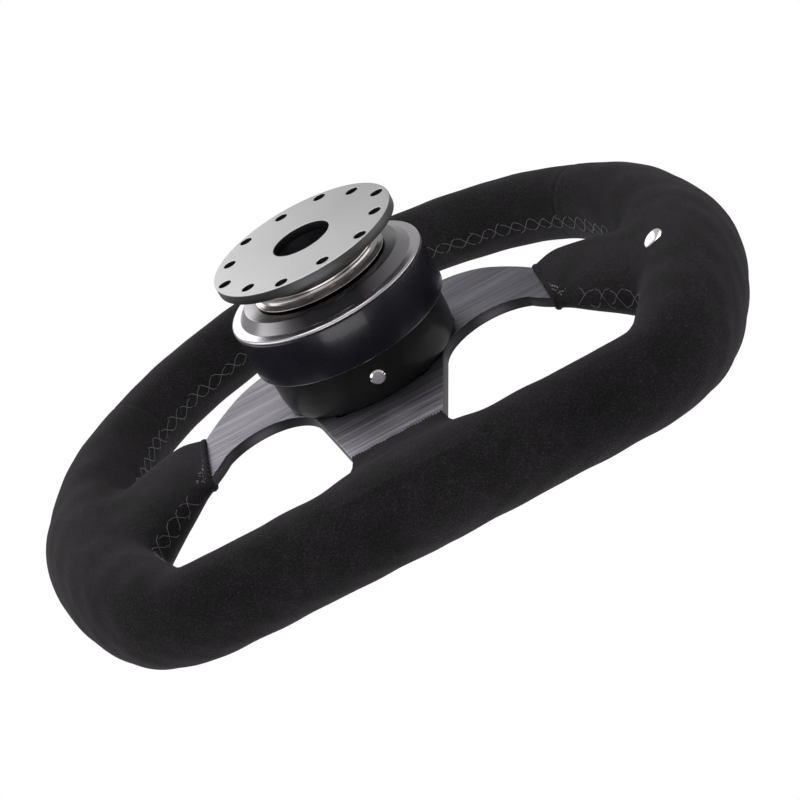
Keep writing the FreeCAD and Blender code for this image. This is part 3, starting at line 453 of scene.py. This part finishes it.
GROUPS = {
    "black": (MOULDED_BLACK, ("button_bush", "horn_cup", "horn_cap")),
    "bezel": (FINISHES["horn_ring"], ("horn_bezel",)),
    "nylon": (NYLON, ("contact_insulator", "contact_carrier")),
    "steel": (STEEL, ("cam_ring", "spline_socket", "ball_cage", "snap_ring")),
    "bright": (BRIGHT, ("lock_button", *("locking_ball_%d" % (i + 1) for i in range(6)))),
    "brass": (BRASS, ("column_contact", "horn_fixed_contact", "horn_moving_contact", "wheel_contact",
                      "horn_terminals")),
    "oxide": (OXIDE, ("cage_screws", "wheel_screws", "ring_screws")),
}
for finish, names in GROUPS.values():
    for name in names:
        FINISHES[name] = finish


def repaint():
    """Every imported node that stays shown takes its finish."""
    for name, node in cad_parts.items():
        if name in FINISHES:
            node.data.materials.clear()
            node.data.materials.append(FINISHES[name].material)


repaint()


# ---------------------------------------------------------------- the grip as a distance field
# Millimetres. The rim line runs from twelve o'clock to the flat base through four arcs.
RIM_TOP = 125.0
RIM_ARCS = (("crown", 155.0, 36.0), ("shoulder", 116.0, 38.5), ("side", 160.0, 47.0), ("corner", 33.6, None))
DEPTH_SHARE = 1.05          # the section is a little deeper along Y than across


def rim_line():
    """Centre, radius, first and last heading and first length of each arc, and the flat base."""
    x, z, heading, run = 0.0, RIM_TOP, 0.0, 0.0
    arcs = []
    for name, radius, turn in RIM_ARCS:
        turn = math.pi - heading if turn is None else math.radians(turn)
        centre = (x - math.sin(heading) * radius, z - math.cos(heading) * radius)
        arcs.append((centre, radius, heading, heading + turn, run))
        heading += turn
        run += radius * turn
        x = centre[0] + math.sin(heading) * radius
        z = centre[1] + math.cos(heading) * radius
    return arcs, (x, z, run)


ARCS, BASE = rim_line()
RUN_SHOULDER = ARCS[1][4]
RUN_SIDE = ARCS[2][4]
RUN_CORNER = ARCS[3][4]
RUN_BASE = BASE[2]
RUN_END = RUN_BASE + BASE[0]

# Half-thickness of the grip across, along the run from twelve o'clock to six o'clock.
GIRTH = (
    (0.0, 16.2),
    (RUN_SHOULDER + 20.0, 16.3),
    (RUN_SIDE + 20.0, 19.6),
    (RUN_SIDE + 62.0, 22.0),
    (RUN_CORNER - 12.0, 21.0),
    (RUN_CORNER + 24.0, 18.4),
    (RUN_BASE + 22.0, 18.6),
    (RUN_END, 19.1),
)
# Station of the section's middle along the run; the base lies a little nearer the driver.
RIM_STATIONS = (
    (0.0, 74.3),
    (RUN_SIDE + 70.0, 74.3),
    (RUN_CORNER + 20.0, 75.6),
    (RUN_BASE + 30.0, 75.9),
    (RUN_END, 75.9),
)
# Where one suede panel meets the next along the run.
PANEL_SEAMS = (RUN_SHOULDER + 35.0,)
SEAM_DEPTH = 0.3
SEAM_WIDTH = 0.9
SEAM_SWELL = 0.15
SEAM_SWELL_WIDTH = 5.0


def smooth_table(knots, values):
    """Values between knots, eased at every knot."""
    places = np.array([knot[0] for knot in knots])
    columns = np.array([knot[1] for knot in knots])
    index = np.clip(np.searchsorted(places, values) - 1, 0, len(places) - 2)
    share = np.clip((values - places[index]) / (places[index + 1] - places[index]), 0, 1)
    share = share * share * (3 - 2 * share)
    return columns[index] * (1 - share) + columns[index + 1] * share


def nearest_on_rim(x, z):
    """Distance across from the rim line and the run along it, on the right-hand half."""
    best = np.full(x.shape, 1e9)
    run = np.zeros(x.shape)
    for (cx, cz), radius, first, last, start in ARCS:
        heading = np.clip(np.arctan2(x - cx, z - cz), first, last)
        away = np.hypot(x - cx - radius * np.sin(heading), z - cz - radius * np.cos(heading))
        nearer = away < best
        best = np.where(nearer, away, best)
        run = np.where(nearer, start + radius * (heading - first), run)
    flat = np.clip(x, 0.0, BASE[0])
    away = np.hypot(x - flat, z - BASE[1])
    nearer = away < best
    return np.where(nearer, away, best), np.where(nearer, BASE[2] + BASE[0] - flat, run)


def oval_distance(across, deep, half_across, half_deep, power=2.0):
    """Distance to an oval, exact on its outline and close to true near it."""
    u = np.abs(across) / half_across
    v = np.abs(deep) / half_deep
    size = np.maximum((u ** power + v ** power) ** (1 / power), 1e-3)
    slope = np.hypot(u ** (power - 1) / half_across, v ** (power - 1) / half_deep) / size ** (power - 1)
    return (size - 1) / np.maximum(slope, 1e-3)


def rim_distance(x, s, z):
    across, run = nearest_on_rim(x, z)
    girth = smooth_table(GIRTH, run)
    for seam in PANEL_SEAMS:
        away = run - seam
        girth = girth + SEAM_SWELL * np.exp(-(away / SEAM_SWELL_WIDTH) ** 2)
        girth = girth - (SEAM_DEPTH + SEAM_SWELL) * np.exp(-(away / SEAM_WIDTH) ** 2)
    station = smooth_table(RIM_STATIONS, run)
    return oval_distance(across, s - station, girth, girth * DEPTH_SHARE)


# The side grips: oval sections across the spoke at places along X, each with its middle in Z,
# its half-height, its middle station and its half-depth.
SIDE_GRIP = (
    (81.0, -10.5, 20.3, 67.5, 3.8),
    (88.0, -11.0, 27.5, 67.9, 6.8),
    (97.0, -16.5, 31.0, 69.0, 10.0),
    (108.0, -25.0, 34.0, 71.0, 13.0),
    (122.0, -35.0, 37.0, 73.5, 16.0),
)
SIDE_GRIP_REACH = 131.0
SIDE_GRIP_END = 81.0
SIDE_GRIP_BLEND = 5.5
# The base grip: sections across the base spoke at heights, with half-width, middle and half-depth.
BASE_GRIP = (
    (-75.0, 20.6, 67.5, 3.7),
    (-82.0, 21.4, 68.2, 5.4),
    (-88.0, 24.5, 70.0, 8.6),
    (-97.0, 33.0, 73.0, 14.0),
)
BASE_GRIP_TOP = -75.0
BASE_GRIP_FOOT = -118.0
BASE_GRIP_BLEND = 6.0


def rounded_column(rows, values, column, ease=5.0):
    """One column of a table of sections: straight between its rows, with the corners rounded."""
    knots = sorted((row[0], row[column]) for row in rows)
    places, heights = [knot[0] for knot in knots], [knot[1] for knot in knots]
    total = 0.0
    for share in (-1.0, -0.5, 0.0, 0.5, 1.0):
        total = total + np.interp(values + share * ease, places, heights) / 5
    return total


def side_grip_distance(x, s, z):
    middle = rounded_column(SIDE_GRIP, x, 1)
    half = rounded_column(SIDE_GRIP, x, 2)
    station = rounded_column(SIDE_GRIP, x, 3)
    deep = rounded_column(SIDE_GRIP, x, 4)
    return oval_distance(z - middle, s - station, half, deep, 2.3)


def base_grip_distance(x, s, z):
    half = rounded_column(BASE_GRIP, z, 1)
    station = rounded_column(BASE_GRIP, z, 2)
    deep = rounded_column(BASE_GRIP, z, 3)
    return oval_distance(x, s - station, half, deep, 5.0)


def soft_union(first, second, reach):
    overlap = np.maximum(reach - np.abs(first - second), 0) / reach
    return np.minimum(first, second) - overlap * overlap * reach / 4


# Waves of the cut edges: amount in millimetres, radians per millimetre, and phase.
SIDE_RAGGED = ((0.35, 2.1, 0.0), (0.25, 5.3, 1.0))
BASE_PINKED = ((0.30, 2.6, 0.0), (0.20, 6.1, 0.0))
BROAD_SWELL = 0.16
FINE_SWELL = 0.10


def waves(rows, values):
    return sum(amount * np.sin(values * pitch + phase) for amount, pitch, phase in rows)


def grip_field(x, s, z):
    """Signed distance to the whole suede grip, negative inside it."""
    x = np.abs(x)
    side = np.maximum(side_grip_distance(x, s, z), SIDE_GRIP_END + waves(SIDE_RAGGED, z) - x)
    side = np.maximum(side, x - SIDE_GRIP_REACH)
    base = np.maximum(base_grip_distance(x, s, z), z - BASE_GRIP_TOP - waves(BASE_PINKED, x))
    base = np.maximum(base, BASE_GRIP_FOOT - z)
    whole = soft_union(rim_distance(x, s, z), side, SIDE_GRIP_BLEND)
    whole = soft_union(whole, base, BASE_GRIP_BLEND)
    broad = BROAD_SWELL * np.sin(x * 0.19 + 1.1) * np.sin(z * 0.23)
    return whole + (broad + FINE_SWELL * np.sin(s * 0.5 + x * 0.31 + z * 0.27))


GRIP_LOW = (-166.0, 50.0, -136.0)
GRIP_HIGH = (166.0, 98.5, 146.0)
MARGIN_STEPS = 3
FIELD_STEPS = 6         # the field is kept this many grid steps either side of the surface


def grip_mesh(step):
    """The grip's surface as quads, from its distance field on a regular grid."""
    margin = MARGIN_STEPS * step
    reach = FIELD_STEPS * step
    low = np.array(GRIP_LOW) - margin
    high = np.array(GRIP_HIGH) + margin
    axes = [np.arange(low[i], high[i], step, dtype=np.float32) for i in range(3)]
    x, s, z = np.meshgrid(*axes, indexing="ij")
    field = np.clip(grip_field(x, s, z), -reach, reach).astype(np.float32)
    grid = openvdb.FloatGrid()
    grid.background = reach
    grid.copyFromArray(field)
    points, triangles, quads = grid.convertToPolygons(isovalue=0.0, adaptivity=0.0)
    points = points * step + np.array([axis[0] for axis in axes])
    places = np.stack([points[:, 0], -points[:, 1], points[:, 2]], axis=1) * MM
    return places, [tuple(int(i) for i in face) for face in list(quads) + list(triangles)]


def made(name, places, faces, body, finish):
    """A mesh object that rides on a body."""
    mesh = bpy.data.meshes.new(name)
    mesh.from_pydata([tuple(place) for place in places], [], faces)
    mesh.validate()
    for face in mesh.polygons:
        face.use_smooth = True
    mesh.materials.append(finish.material)
    piece = bpy.data.objects.new(name, mesh)
    scene.collection.objects.link(piece)
    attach(piece, body)
    return piece


# ---------------------------------------------------------------- turned and flat metal pieces
ROUND_STEPS = 192
SHARP_ANGLE = math.radians(40)


def softened(corners, radius):
    """A profile's corners, each rounded with three short edges."""
    out = []
    count = len(corners)
    for i, corner in enumerate(corners):
        here = Vector(corner)
        before = Vector(corners[i - 1]) - here
        after = Vector(corners[(i + 1) % count]) - here
        cut = min(radius, before.length * 0.4, after.length * 0.4)
        start = here + before.normalized() * cut
        end = here + after.normalized() * cut
        for share in (0.0, 0.33, 0.67, 1.0):
            out.append(start * (1 - share) ** 2 + here * 2 * share * (1 - share) + end * share ** 2)
    return out


def turned_piece(name, node, corners, edge, body, finish):
    """A fine turned piece about the Y axis, from (radius, station) corners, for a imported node."""
    ring = softened(corners, edge)
    count = len(ring)
    places, faces = [], []
    for i in range(ROUND_STEPS):
        angle = 2 * math.pi * i / ROUND_STEPS
        for radius, station in ring:
            places.append((radius * math.cos(angle) * MM, -station * MM, radius * math.sin(angle) * MM))
    for i in range(ROUND_STEPS):
        following = (i + 1) % ROUND_STEPS
        for k in range(count):
            next_k = (k + 1) % count
            faces.append((i * count + k, following * count + k, following * count + next_k,
                          i * count + next_k))
    piece = made(name, places, faces, body, finish)
    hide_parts(node)
    return piece


def circle_outline(x, z, radius, steps=48):
    turn = 2 * math.pi / steps
    return [(x + radius * math.cos(i * turn), z + radius * math.sin(i * turn)) for i in range(steps)]


def arc_outline(start, middle, end, steps=24):
    """Points on the arc through three points, without its last point."""
    (ax, ay), (bx, by), (cx, cy) = start, middle, end
    twice = 2 * (ax * (by - cy) + bx * (cy - ay) + cx * (ay - by))
    a2, b2, c2 = ax * ax + ay * ay, bx * bx + by * by, cx * cx + cy * cy
    x = (a2 * (by - cy) + b2 * (cy - ay) + c2 * (ay - by)) / twice
    y = (a2 * (cx - bx) + b2 * (ax - cx) + c2 * (bx - ax)) / twice
    radius = math.hypot(ax - x, ay - y)
    first = math.atan2(ay - y, ax - x)
    through = (math.atan2(by - y, bx - x) - first) % (2 * math.pi)
    turn = (math.atan2(cy - y, cx - x) - first) % (2 * math.pi)
    if through > turn:
        turn -= 2 * math.pi
    angles = [first + turn * i / steps for i in range(steps)]
    return [(x + radius * math.cos(angle), y + radius * math.sin(angle)) for angle in angles]


def flat_piece(name, outlines, from_station, to_station, edge, body, finish, slot_name):
    """A flat piece across the Y axis, cut from outlines in X and Z, with bevelled edges."""
    curve = bpy.data.curves.new(name, "CURVE")
    curve.dimensions = "2D"
    curve.fill_mode = "BOTH"
    curve.extrude = ((to_station - from_station) / 2 - edge) * MM
    curve.bevel_depth = edge * MM
    curve.bevel_resolution = 2
    curve.offset = -edge * MM
    for outline in outlines:
        spline = curve.splines.new("POLY")
        spline.points.add(len(outline) - 1)
        for point, (x, z) in zip(spline.points, outline):
            point.co = (x * MM, z * MM, 0.0, 1.0)
        spline.use_cyclic_u = True
    holder = bpy.data.objects.new(name + "_curve", curve)
    scene.collection.objects.link(holder)
    bpy.context.view_layer.update()
    depsgraph = bpy.context.evaluated_depsgraph_get()
    mesh = bpy.data.meshes.new_from_object(holder.evaluated_get(depsgraph))
    bpy.data.objects.remove(holder)
    place = -(from_station + to_station) / 2 * MM
    mesh.transform(Matrix(((1, 0, 0, 0), (0, 0, 1, place), (0, 1, 0, 0), (0, 0, 0, 1))))
    mesh.flip_normals()
    mesh.name = name
    mesh.materials.clear()
    mesh.materials.append(finish.material)
    mesh.shade_smooth()
    mesh.set_sharp_from_angle(angle=SHARP_ANGLE)
    piece = bpy.data.objects.new(name, mesh)
    scene.collection.objects.link(piece)
    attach(piece, body)
    return piece


FLANGE_RADIUS = 41.2
FLANGE_BORE = 13.0
FLANGE_THICK = 4.3
FLANGE_BEVEL = 0.3
BOLT_HOLE = 2.75
BOLT_RINGS = ((35.0, 21.0), (37.0, 51.0))       # radius, and degrees of the first hole


def hole_ring(ring_radius, first, hole_radius, steps=48):
    """Six equal holes on a circle."""
    angles = [math.radians(first + 60 * i) for i in range(6)]
    return [circle_outline(ring_radius * math.cos(angle), ring_radius * math.sin(angle), hole_radius, steps)
            for angle in angles]


def column_flange():
    """The flange's disc, with its bore and two rings of bolt holes."""
    outlines = [circle_outline(0, 0, FLANGE_RADIUS, 192), circle_outline(0, 0, FLANGE_BORE, 96)]
    for ring_radius, first in BOLT_RINGS:
        outlines += hole_ring(ring_radius, first, BOLT_HOLE)
    piece = flat_piece("flange_disc", outlines, 0.0, FLANGE_THICK, FLANGE_BEVEL, "column",
                       FINISHES["column_flange"], "flange_alu")
    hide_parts("column_flange")


def visible_turnings():
    """The turned pieces that show, with rounded edges that catch the light."""
    turned_piece("neck_turning", "flange_neck", [
        (16.0, FLANGE_THICK), (26.4, FLANGE_THICK), (25.5, 5.4), (25.4, 10.4), (26.3, 11.1),
        (27.3, 11.4), (27.3, 12.4), (26.9, 12.8), (27.1, 13.8), (27.9, 14.8), (29.4, 15.6),
        (30.2, 15.8), (30.2, 16.3), (16.0, 16.3),
    ], 0.2, "column", FINISHES["flange_neck"])
    turned_piece("cap_turning", "collar_cap", [
        (24.8, 17.1), (36.0, 17.1), (40.0, 21.3), (43.5, 21.3), (44.3, 21.8), (44.4, 22.6), (43.6, 22.8),
        (41.3, 22.8), (41.3, 25.8), (38.2, 25.8), (38.2, 24.0), (34.8, 20.5), (24.8, 20.5),
    ], 0.3, "collar", FINISHES["collar_cap"])
    turned_piece("collar_turning", "release_collar", [
        (41.35, 22.9), (43.9, 22.9), (44.4, 23.4), (44.4, 43.6), (43.8, 44.3), (41.35, 44.3),
        (41.35, 33.0), (39.8, 33.0), (39.8, 30.0), (41.35, 30.0),
    ], 0.15, "collar", FINISHES["release_collar"])
    turned_piece("housing_turning", "quick_release_housing", [
        (38.8, 40.0), (40.5, 40.0), (40.9, 40.4), (40.9, 57.0), (40.6, 61.0), (40.0, 63.4), (39.0, 65.0),
        (15.0, 65.0), (15.0, 56.0), (21.0, 56.0), (21.0, 47.0), (38.8, 47.0),
    ], 0.5, "wheel", FINISHES["quick_release_housing"])


ARCH_MIDDLE = (54.5, -34.0)
ARCH_RADIUS = 25.4
PLATE_STATIONS = (65.0, 70.0)
PLATE_BEVEL = 0.35
PLATE_BORE = 27.5
SCREW_RING = 35.0
SCREW_ROOM = 5.0
# Corners of the plate's right half in X and Z, from the crown out along the spoke and back.
CROWN_TOP = (0.0, 47.5)
CROWN_END = (42.3, 43.4)
SPOKE_ROOT = (66.6, 28.8)
SPOKE_NECK = (81.0, 8.0)
SPOKE_TIP = (129.0, -14.0)
SPOKE_FOOT = (127.0, -50.0)
BASE_CORNERS = ((19.6, -78.0), (22.0, -104.0))


def spoke_plate():
    """The brushed plate between the grips; its hoop lies inside the grip and isn't repeated."""
    def on_arch(degrees):
        angle = math.radians(degrees)
        x, z = ARCH_MIDDLE
        return (x + ARCH_RADIUS * math.cos(angle), z + ARCH_RADIUS * math.sin(angle))

    right_half = arc_outline(CROWN_END, (56.6, 37.9), SPOKE_ROOT)
    right_half += arc_outline(SPOKE_ROOT, (74.3, 18.8), SPOKE_NECK, 8)
    right_half += arc_outline(SPOKE_NECK, (101.0, -10.0), SPOKE_TIP)
    right_half += [SPOKE_TIP, SPOKE_FOOT]
    right_half += arc_outline(SPOKE_FOOT, (98.0, -42.0), on_arch(45), 36)
    right_half += arc_outline(on_arch(45), on_arch(90), on_arch(166), 60)
    right_half += [on_arch(166), *BASE_CORNERS]
    crown = arc_outline((-CROWN_END[0], CROWN_END[1]), CROWN_TOP, CROWN_END, 36)
    left_half = [(-x, z) for x, z in reversed(right_half)]
    outlines = [crown + right_half + left_half[:-1], circle_outline(0, 0, PLATE_BORE, 96)]
    outlines += hole_ring(SCREW_RING, 0, SCREW_ROOM, 32)
    piece = flat_piece("spoke_plate_finish", outlines, *PLATE_STATIONS, PLATE_BEVEL, "wheel",
                       FINISHES["spoke_plate"], "plate_alu")
    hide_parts("spoke_plate")


# ---------------------------------------------------------------- trim and stitching on the grip
PROBE = 0.2             # step either side of a point for the field's slope
SETTLING_STEPS = 6
GENTLEST_SLOPE = 0.3


def towards_surface(points, lift=0.0):
    """Points in (X, station, Z) moved along the field's slope to a height above the grip."""
    points = np.array(points, dtype=float)
    for _ in range(SETTLING_STEPS):
        height = grip_field(*points.T)
        slope = np.zeros_like(points)
        for axis in range(3):
            step = np.zeros(3)
            step[axis] = PROBE
            slope[:, axis] = grip_field(*(points + step).T) - grip_field(*(points - step).T)
        size = np.maximum(np.linalg.norm(slope, axis=1), 1e-6)
        slope /= size[:, None]
        grade = np.maximum(size / (2 * PROBE), GENTLEST_SLOPE)
        points -= slope * ((height - lift) / grade)[:, None]
    return points


def thread_piece(name, runs, thickness, finish):
    """Round threads through runs of (X, station, Z) points, as one piece."""
    curve = bpy.data.curves.new(name, "CURVE")
    curve.dimensions = "3D"
    curve.bevel_depth = thickness / 2      # times each point's radius, which is one millimetre
    curve.bevel_resolution = 1
    curve.use_fill_caps = True
    for run in runs:
        spline = curve.splines.new("POLY")
        spline.points.add(len(run) - 1)
        for point, (x, station, z) in zip(spline.points, run):
            point.co = (x * MM, -station * MM, z * MM, 1.0)
            point.radius = MM
    curve.materials.append(finish.material)
    piece = bpy.data.objects.new(name, curve)
    scene.collection.objects.link(piece)
    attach(piece, "wheel")
    return piece


STITCH_LENGTH = 8.2
STITCH_POINTS = 5
STITCH_UNEVEN = 0.32    # share by which a stitch's reach varies
STITCH_SLIP = 1.1       # millimetres by which its ends shift along the seam
STITCH_LIFT = 0.10
THREAD_THICK = 0.34


def lacing(line, side_step, wobble, half_width=2.9):
    """Two crossing zigzag threads that lie on the suede along a line of points.

    side_step gives the direction across the line at every point."""
    line = np.array(line)
    lengths = np.concatenate([[0], np.cumsum(np.linalg.norm(np.diff(line, axis=0), axis=1))])
    count = int(lengths[-1] / STITCH_LENGTH)
    runs = []
    for phase in (-1.0, 1.0):
        for k in range(count):
            ends = []
            for end in (k, k + 1):
                reach = phase * half_width * (1 if end % 2 else -1)
                reach *= 1 + STITCH_UNEVEN * wobble.uniform(-1, 1)
                ends.append((end * STITCH_LENGTH + STITCH_SLIP * wobble.uniform(-1, 1), reach))
            shares = np.linspace(0.0, 1.0, STITCH_POINTS)
            along = ends[0][0] + (ends[1][0] - ends[0][0]) * shares
            across = ends[0][1] + (ends[1][1] - ends[0][1]) * np.clip(shares * 1.5 - 0.25, 0, 1)
            places = np.stack([np.interp(along, lengths, line[:, i]) for i in range(3)], axis=1)
            sideways = np.stack([np.interp(along, lengths, side_step[:, i]) for i in range(3)], axis=1)
            runs.append(towards_surface(places + sideways * across[:, None], STITCH_LIFT))
    return runs


def rim_point(run, across, station):
    """A point beside the rim line: across is positive outward from the wheel's middle."""
    for (cx, cz), radius, first, last, start in ARCS:
        if run <= start + radius * (last - first):
            heading = first + (run - start) / radius
            reach = radius + across
            return (cx + reach * math.sin(heading), station, cz + reach * math.cos(heading))
    return (BASE[0] - (run - BASE[2]), station, BASE[1] - across)


LACING_INSET = 16.0
LACING_STATION = 74.6
LACING_END = RUN_SIDE + 22.0
ALONG_AXIS = (0.0, 1.0, 0.0)


def top_stitching():
    """Lacing along the inner side of the top panel, from one side grip to the other."""
    wobble = np.random.default_rng(11)
    runs = np.linspace(0.0, LACING_END, 120)
    half = [rim_point(run, -LACING_INSET, LACING_STATION) for run in runs]
    line = [(-x, s, z) for x, s, z in reversed(half[1:])] + half
    side_step = np.tile(ALONG_AXIS, (len(line), 1))
    thread_piece("top_stitching", lacing(line, side_step, wobble), THREAD_THICK, THREAD)


# The seam under the right grip, from the spoke's end to the corner of the rim.
UNDER_GRIP = np.array((
    (90.0, 63.5, -38.0), (98.5, 65.5, -49.0), (107.0, 67.5, -63.0), (112.0, 69.0, -77.0),
    (110.0, 70.5, -90.0),
))


def grip_stitching(hand, seed):
    """Lacing under a side grip; the left one is pulled wider."""
    wobble = np.random.default_rng(seed)
    knots = range(len(UNDER_GRIP))
    shares = np.linspace(0, knots[-1], 60)
    line = np.stack([np.interp(shares, knots, UNDER_GRIP[:, i]) for i in range(3)], axis=1)
    line[:, 0] *= hand
    line = towards_surface(line)
    side_step = np.tile(ALONG_AXIS, (len(line), 1))
    name, half_width = ("grip_stitching_right", 3.4) if hand > 0 else ("grip_stitching_left", 4.4)
    thread_piece(name, lacing(line, side_step, wobble, half_width), THREAD_THICK, THREAD)


HEM_THICK = 2.8
HEM_STEPS = 150
HEM_POWER = 2 / 2.6     # the hem's outline is a little squarer than an oval


def side_hem(hand, seed):
    """The rolled end of the suede round a side spoke."""
    x, middle, half, station, deep = SIDE_GRIP[0]
    wobble = np.random.default_rng(seed)
    run = []
    for i in range(HEM_STEPS + 1):
        angle = 2 * math.pi * i / HEM_STEPS
        across, rise = math.cos(angle), math.sin(angle)
        z = middle + (half + 0.2) * math.copysign(abs(rise) ** HEM_POWER, rise)
        s = station + (deep + 0.1) * math.copysign(abs(across) ** HEM_POWER, across)
        run.append((hand * (x + 0.7 + 0.25 * math.sin(z * 1.9) + 0.12 * wobble.uniform(-1, 1)), s, z))
    run[-1] = run[0]
    name = "grip_hem_right" if hand > 0 else "grip_hem_left"
    hem = thread_piece(name, [run], HEM_THICK, SUEDE)
    hem.data.bevel_resolution = 3
    hem.data.use_fill_caps = False


FRAYED_COUNT = 70
FRAYED_THICK = 0.20
FRAYED_LIFT = 0.25
FRAYED_SPREAD = (0.45, 0.1, 0.6)


def frayed_ends(hand, seed):
    """Short pale thread ends along the lower half of a side grip's hem."""
    wobble = np.random.default_rng(seed)
    x, middle, half, station, deep = SIDE_GRIP[0]
    runs = []
    for _ in range(FRAYED_COUNT):
        drop = wobble.uniform(0.1, 1.0)
        z = middle - half * drop
        beyond = wobble.uniform(0.0, 1.5 + 6.0 * drop ** 3)
        start = np.array([hand * (x + beyond), station - deep - 1.2, z])
        way = wobble.normal(size=3) * FRAYED_SPREAD
        middle_point = start + way * 0.5 + (0, -0.25, 0)
        runs.append(towards_surface([start, middle_point, start + way], FRAYED_LIFT))
    name = "frayed_thread_right" if hand > 0 else "frayed_thread_left"
    thread_piece(name, runs, FRAYED_THICK, FRAYED)


TEETH = 30
TOOTH = 0.9
HEM_FLAP = 3.0
HEM_BEVEL = 0.12


def base_hem():
    """The pinked edge of the suede across the base spoke, on both faces of the plate."""
    half = BASE_GRIP[0][1] - 0.3
    edge = []
    for i in range(2 * TEETH + 1):
        x = -half + half * i / TEETH
        edge.append((x, BASE_GRIP_TOP + (TOOTH if i % 2 else 0.0) + 0.25 * math.sin(x * 0.8)))
    outline = edge + [(half, BASE_GRIP_TOP - HEM_FLAP), (-half, BASE_GRIP_TOP - HEM_FLAP)]
    flat_piece("base_hem_column_side", [outline], 63.95, 64.95, HEM_BEVEL, "wheel", SUEDE, "suede")
    flat_piece("base_hem_driver_side", [outline], 70.05, 71.05, HEM_BEVEL, "wheel", SUEDE, "suede")


RIVET_PLACE = (-127.2, 55.0, -47.0)
RIVET_RADIUS = 4.7
RIVET_STEPS = 48
RIVET_LEAN = (0.10, 0.10, -0.18)
# The dome's profile: share of the radius and height, from the middle out.
RIVET_DOME = ((0.0, 0.62), (0.35, 0.60), (0.7, 0.50), (0.93, 0.28), (1.0, 0.0), (1.0, -0.9))


def rivet():
    """A small domed steel disc, sunk a little into the left grip."""
    centre = towards_surface([RIVET_PLACE])[0]
    lifted = towards_surface([centre], 2.0)[0]
    axis = Vector((lifted[0] - centre[0], centre[1] - lifted[1], lifted[2] - centre[2])).normalized()
    axis = (axis + Vector(RIVET_LEAN)).normalized()
    steps = RIVET_STEPS
    places, faces = [(0.0, 0.0, RIVET_DOME[0][1] * MM)], []
    for share, height in RIVET_DOME[1:]:
        for i in range(steps):
            angle = 2 * math.pi * i / steps
            reach = share * RIVET_RADIUS
            places.append((reach * math.cos(angle) * MM, reach * math.sin(angle) * MM, height * MM))
    for i in range(steps):
        faces.append((0, 1 + i, 1 + (i + 1) % steps))
    for ring in range(len(RIVET_DOME) - 2):
        first = 1 + ring * steps
        for i in range(steps):
            following = (i + 1) % steps
            faces.append((first + i, first + steps + i, first + steps + following, first + following))
    turn = axis.to_track_quat("Z", "Y").to_matrix().to_4x4()
    base = Vector((centre[0], -centre[1], centre[2])) * MM
    settle = Matrix.Translation(base) @ turn
    places = [tuple(settle @ Vector(place)) for place in places]
    piece = made("rivet_disc", places, faces, "wheel", BRIGHT)
    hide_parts("cover_rivet")


SPRING_SIDES = 10
SPRING_STEPS = 40
# Piece, node, coil radius, wire radius, turns, length, foot in X, Y and Z, direction, joint, its
# travel, and whether the far end is the one that stays put.
SPRINGS = (
    ("collar_coil", "collar_spring", 36.3, 0.9, 4, 16.8, (0, -30.1, 0), (0, -1, 0),
     "collar_pull", 5.0, True),
    ("button_coil", "button_spring", 2.6, 0.45, 6, 9.0, (-2.3, -53.9, -33.1), (0, 0, 1),
     "lock_button_press", 2.5, True),
    ("horn_coil", "horn_spring", 15.0, 0.6, 3, 8.7, (0, -67.1, 0), (0, -1, 0),
     "horn_button_press", 2.0, False),
)


def coil(name, node, radius, wire, turns, length, foot, along, joint, travel, far_end_stays):
    """A round-wire spring that stands on its foot; the joint, its travel and which end stays put are not
    used.
    """
    foot, along = Vector(foot), Vector(along)
    first = along.orthogonal().normalized()
    second = along.cross(first)
    climb = length - 2 * wire
    count = int(turns * SPRING_STEPS)
    places, faces = [], []
    for i in range(count + 1):
        angle = 2 * math.pi * turns * i / count
        outward = first * math.cos(angle) + second * math.sin(angle)
        middle = foot + along * (wire + climb * i / count) + outward * radius
        for k in range(SPRING_SIDES):
            around = 2 * math.pi * k / SPRING_SIDES
            place = middle + outward * wire * math.cos(around) + along * wire * math.sin(around)
            places.append(tuple(place * MM))
    for i in range(count):
        for k in range(SPRING_SIDES):
            a, b = i * SPRING_SIDES + k, i * SPRING_SIDES + (k + 1) % SPRING_SIDES
            faces.append((a, b, b + SPRING_SIDES, a + SPRING_SIDES))
    faces.append(tuple(reversed(range(SPRING_SIDES))))
    faces.append(tuple(range(count * SPRING_SIDES, (count + 1) * SPRING_SIDES)))
    piece = made(name, places, faces, "wheel", STEEL)
    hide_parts(node)
    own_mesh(piece)


def frayed_thread():
    """Pale broken ends of thread."""
    finish = Finish("frayed_thread")
    finish.plain(Sheen_Weight=0.4)
    tone = finish.noise(700.0, 2.0)
    finish.feed("Base Color", finish.ramp(tone, *NOISE_CORE, (0.10, 0.10, 0.10), (0.38, 0.37, 0.36)))
    finish.feed("Roughness", finish.ramp(tone, *NOISE_SPAN, 0.6, 0.9))
    return finish


SUEDE = suede()
THREAD = thread()
FRAYED = frayed_thread()
GRIP_STEP = 1.1
column_flange()
visible_turnings()
spoke_plate()
top_stitching()
for hand, seed in ((1, 21), (-1, 22)):
    grip_stitching(hand, seed)
    side_hem(hand, seed)
    frayed_ends(hand, seed)
base_hem()
rivet()
for row in SPRINGS:
    coil(*row)
places, faces = grip_mesh(GRIP_STEP)
grip = made("suede_grip", places, faces, "wheel", SUEDE)
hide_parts("rim_foam", "cover_top", "cover_right", "cover_left", "cover_base", "thumb_pad_right",
            "thumb_pad_left", "base_pad")
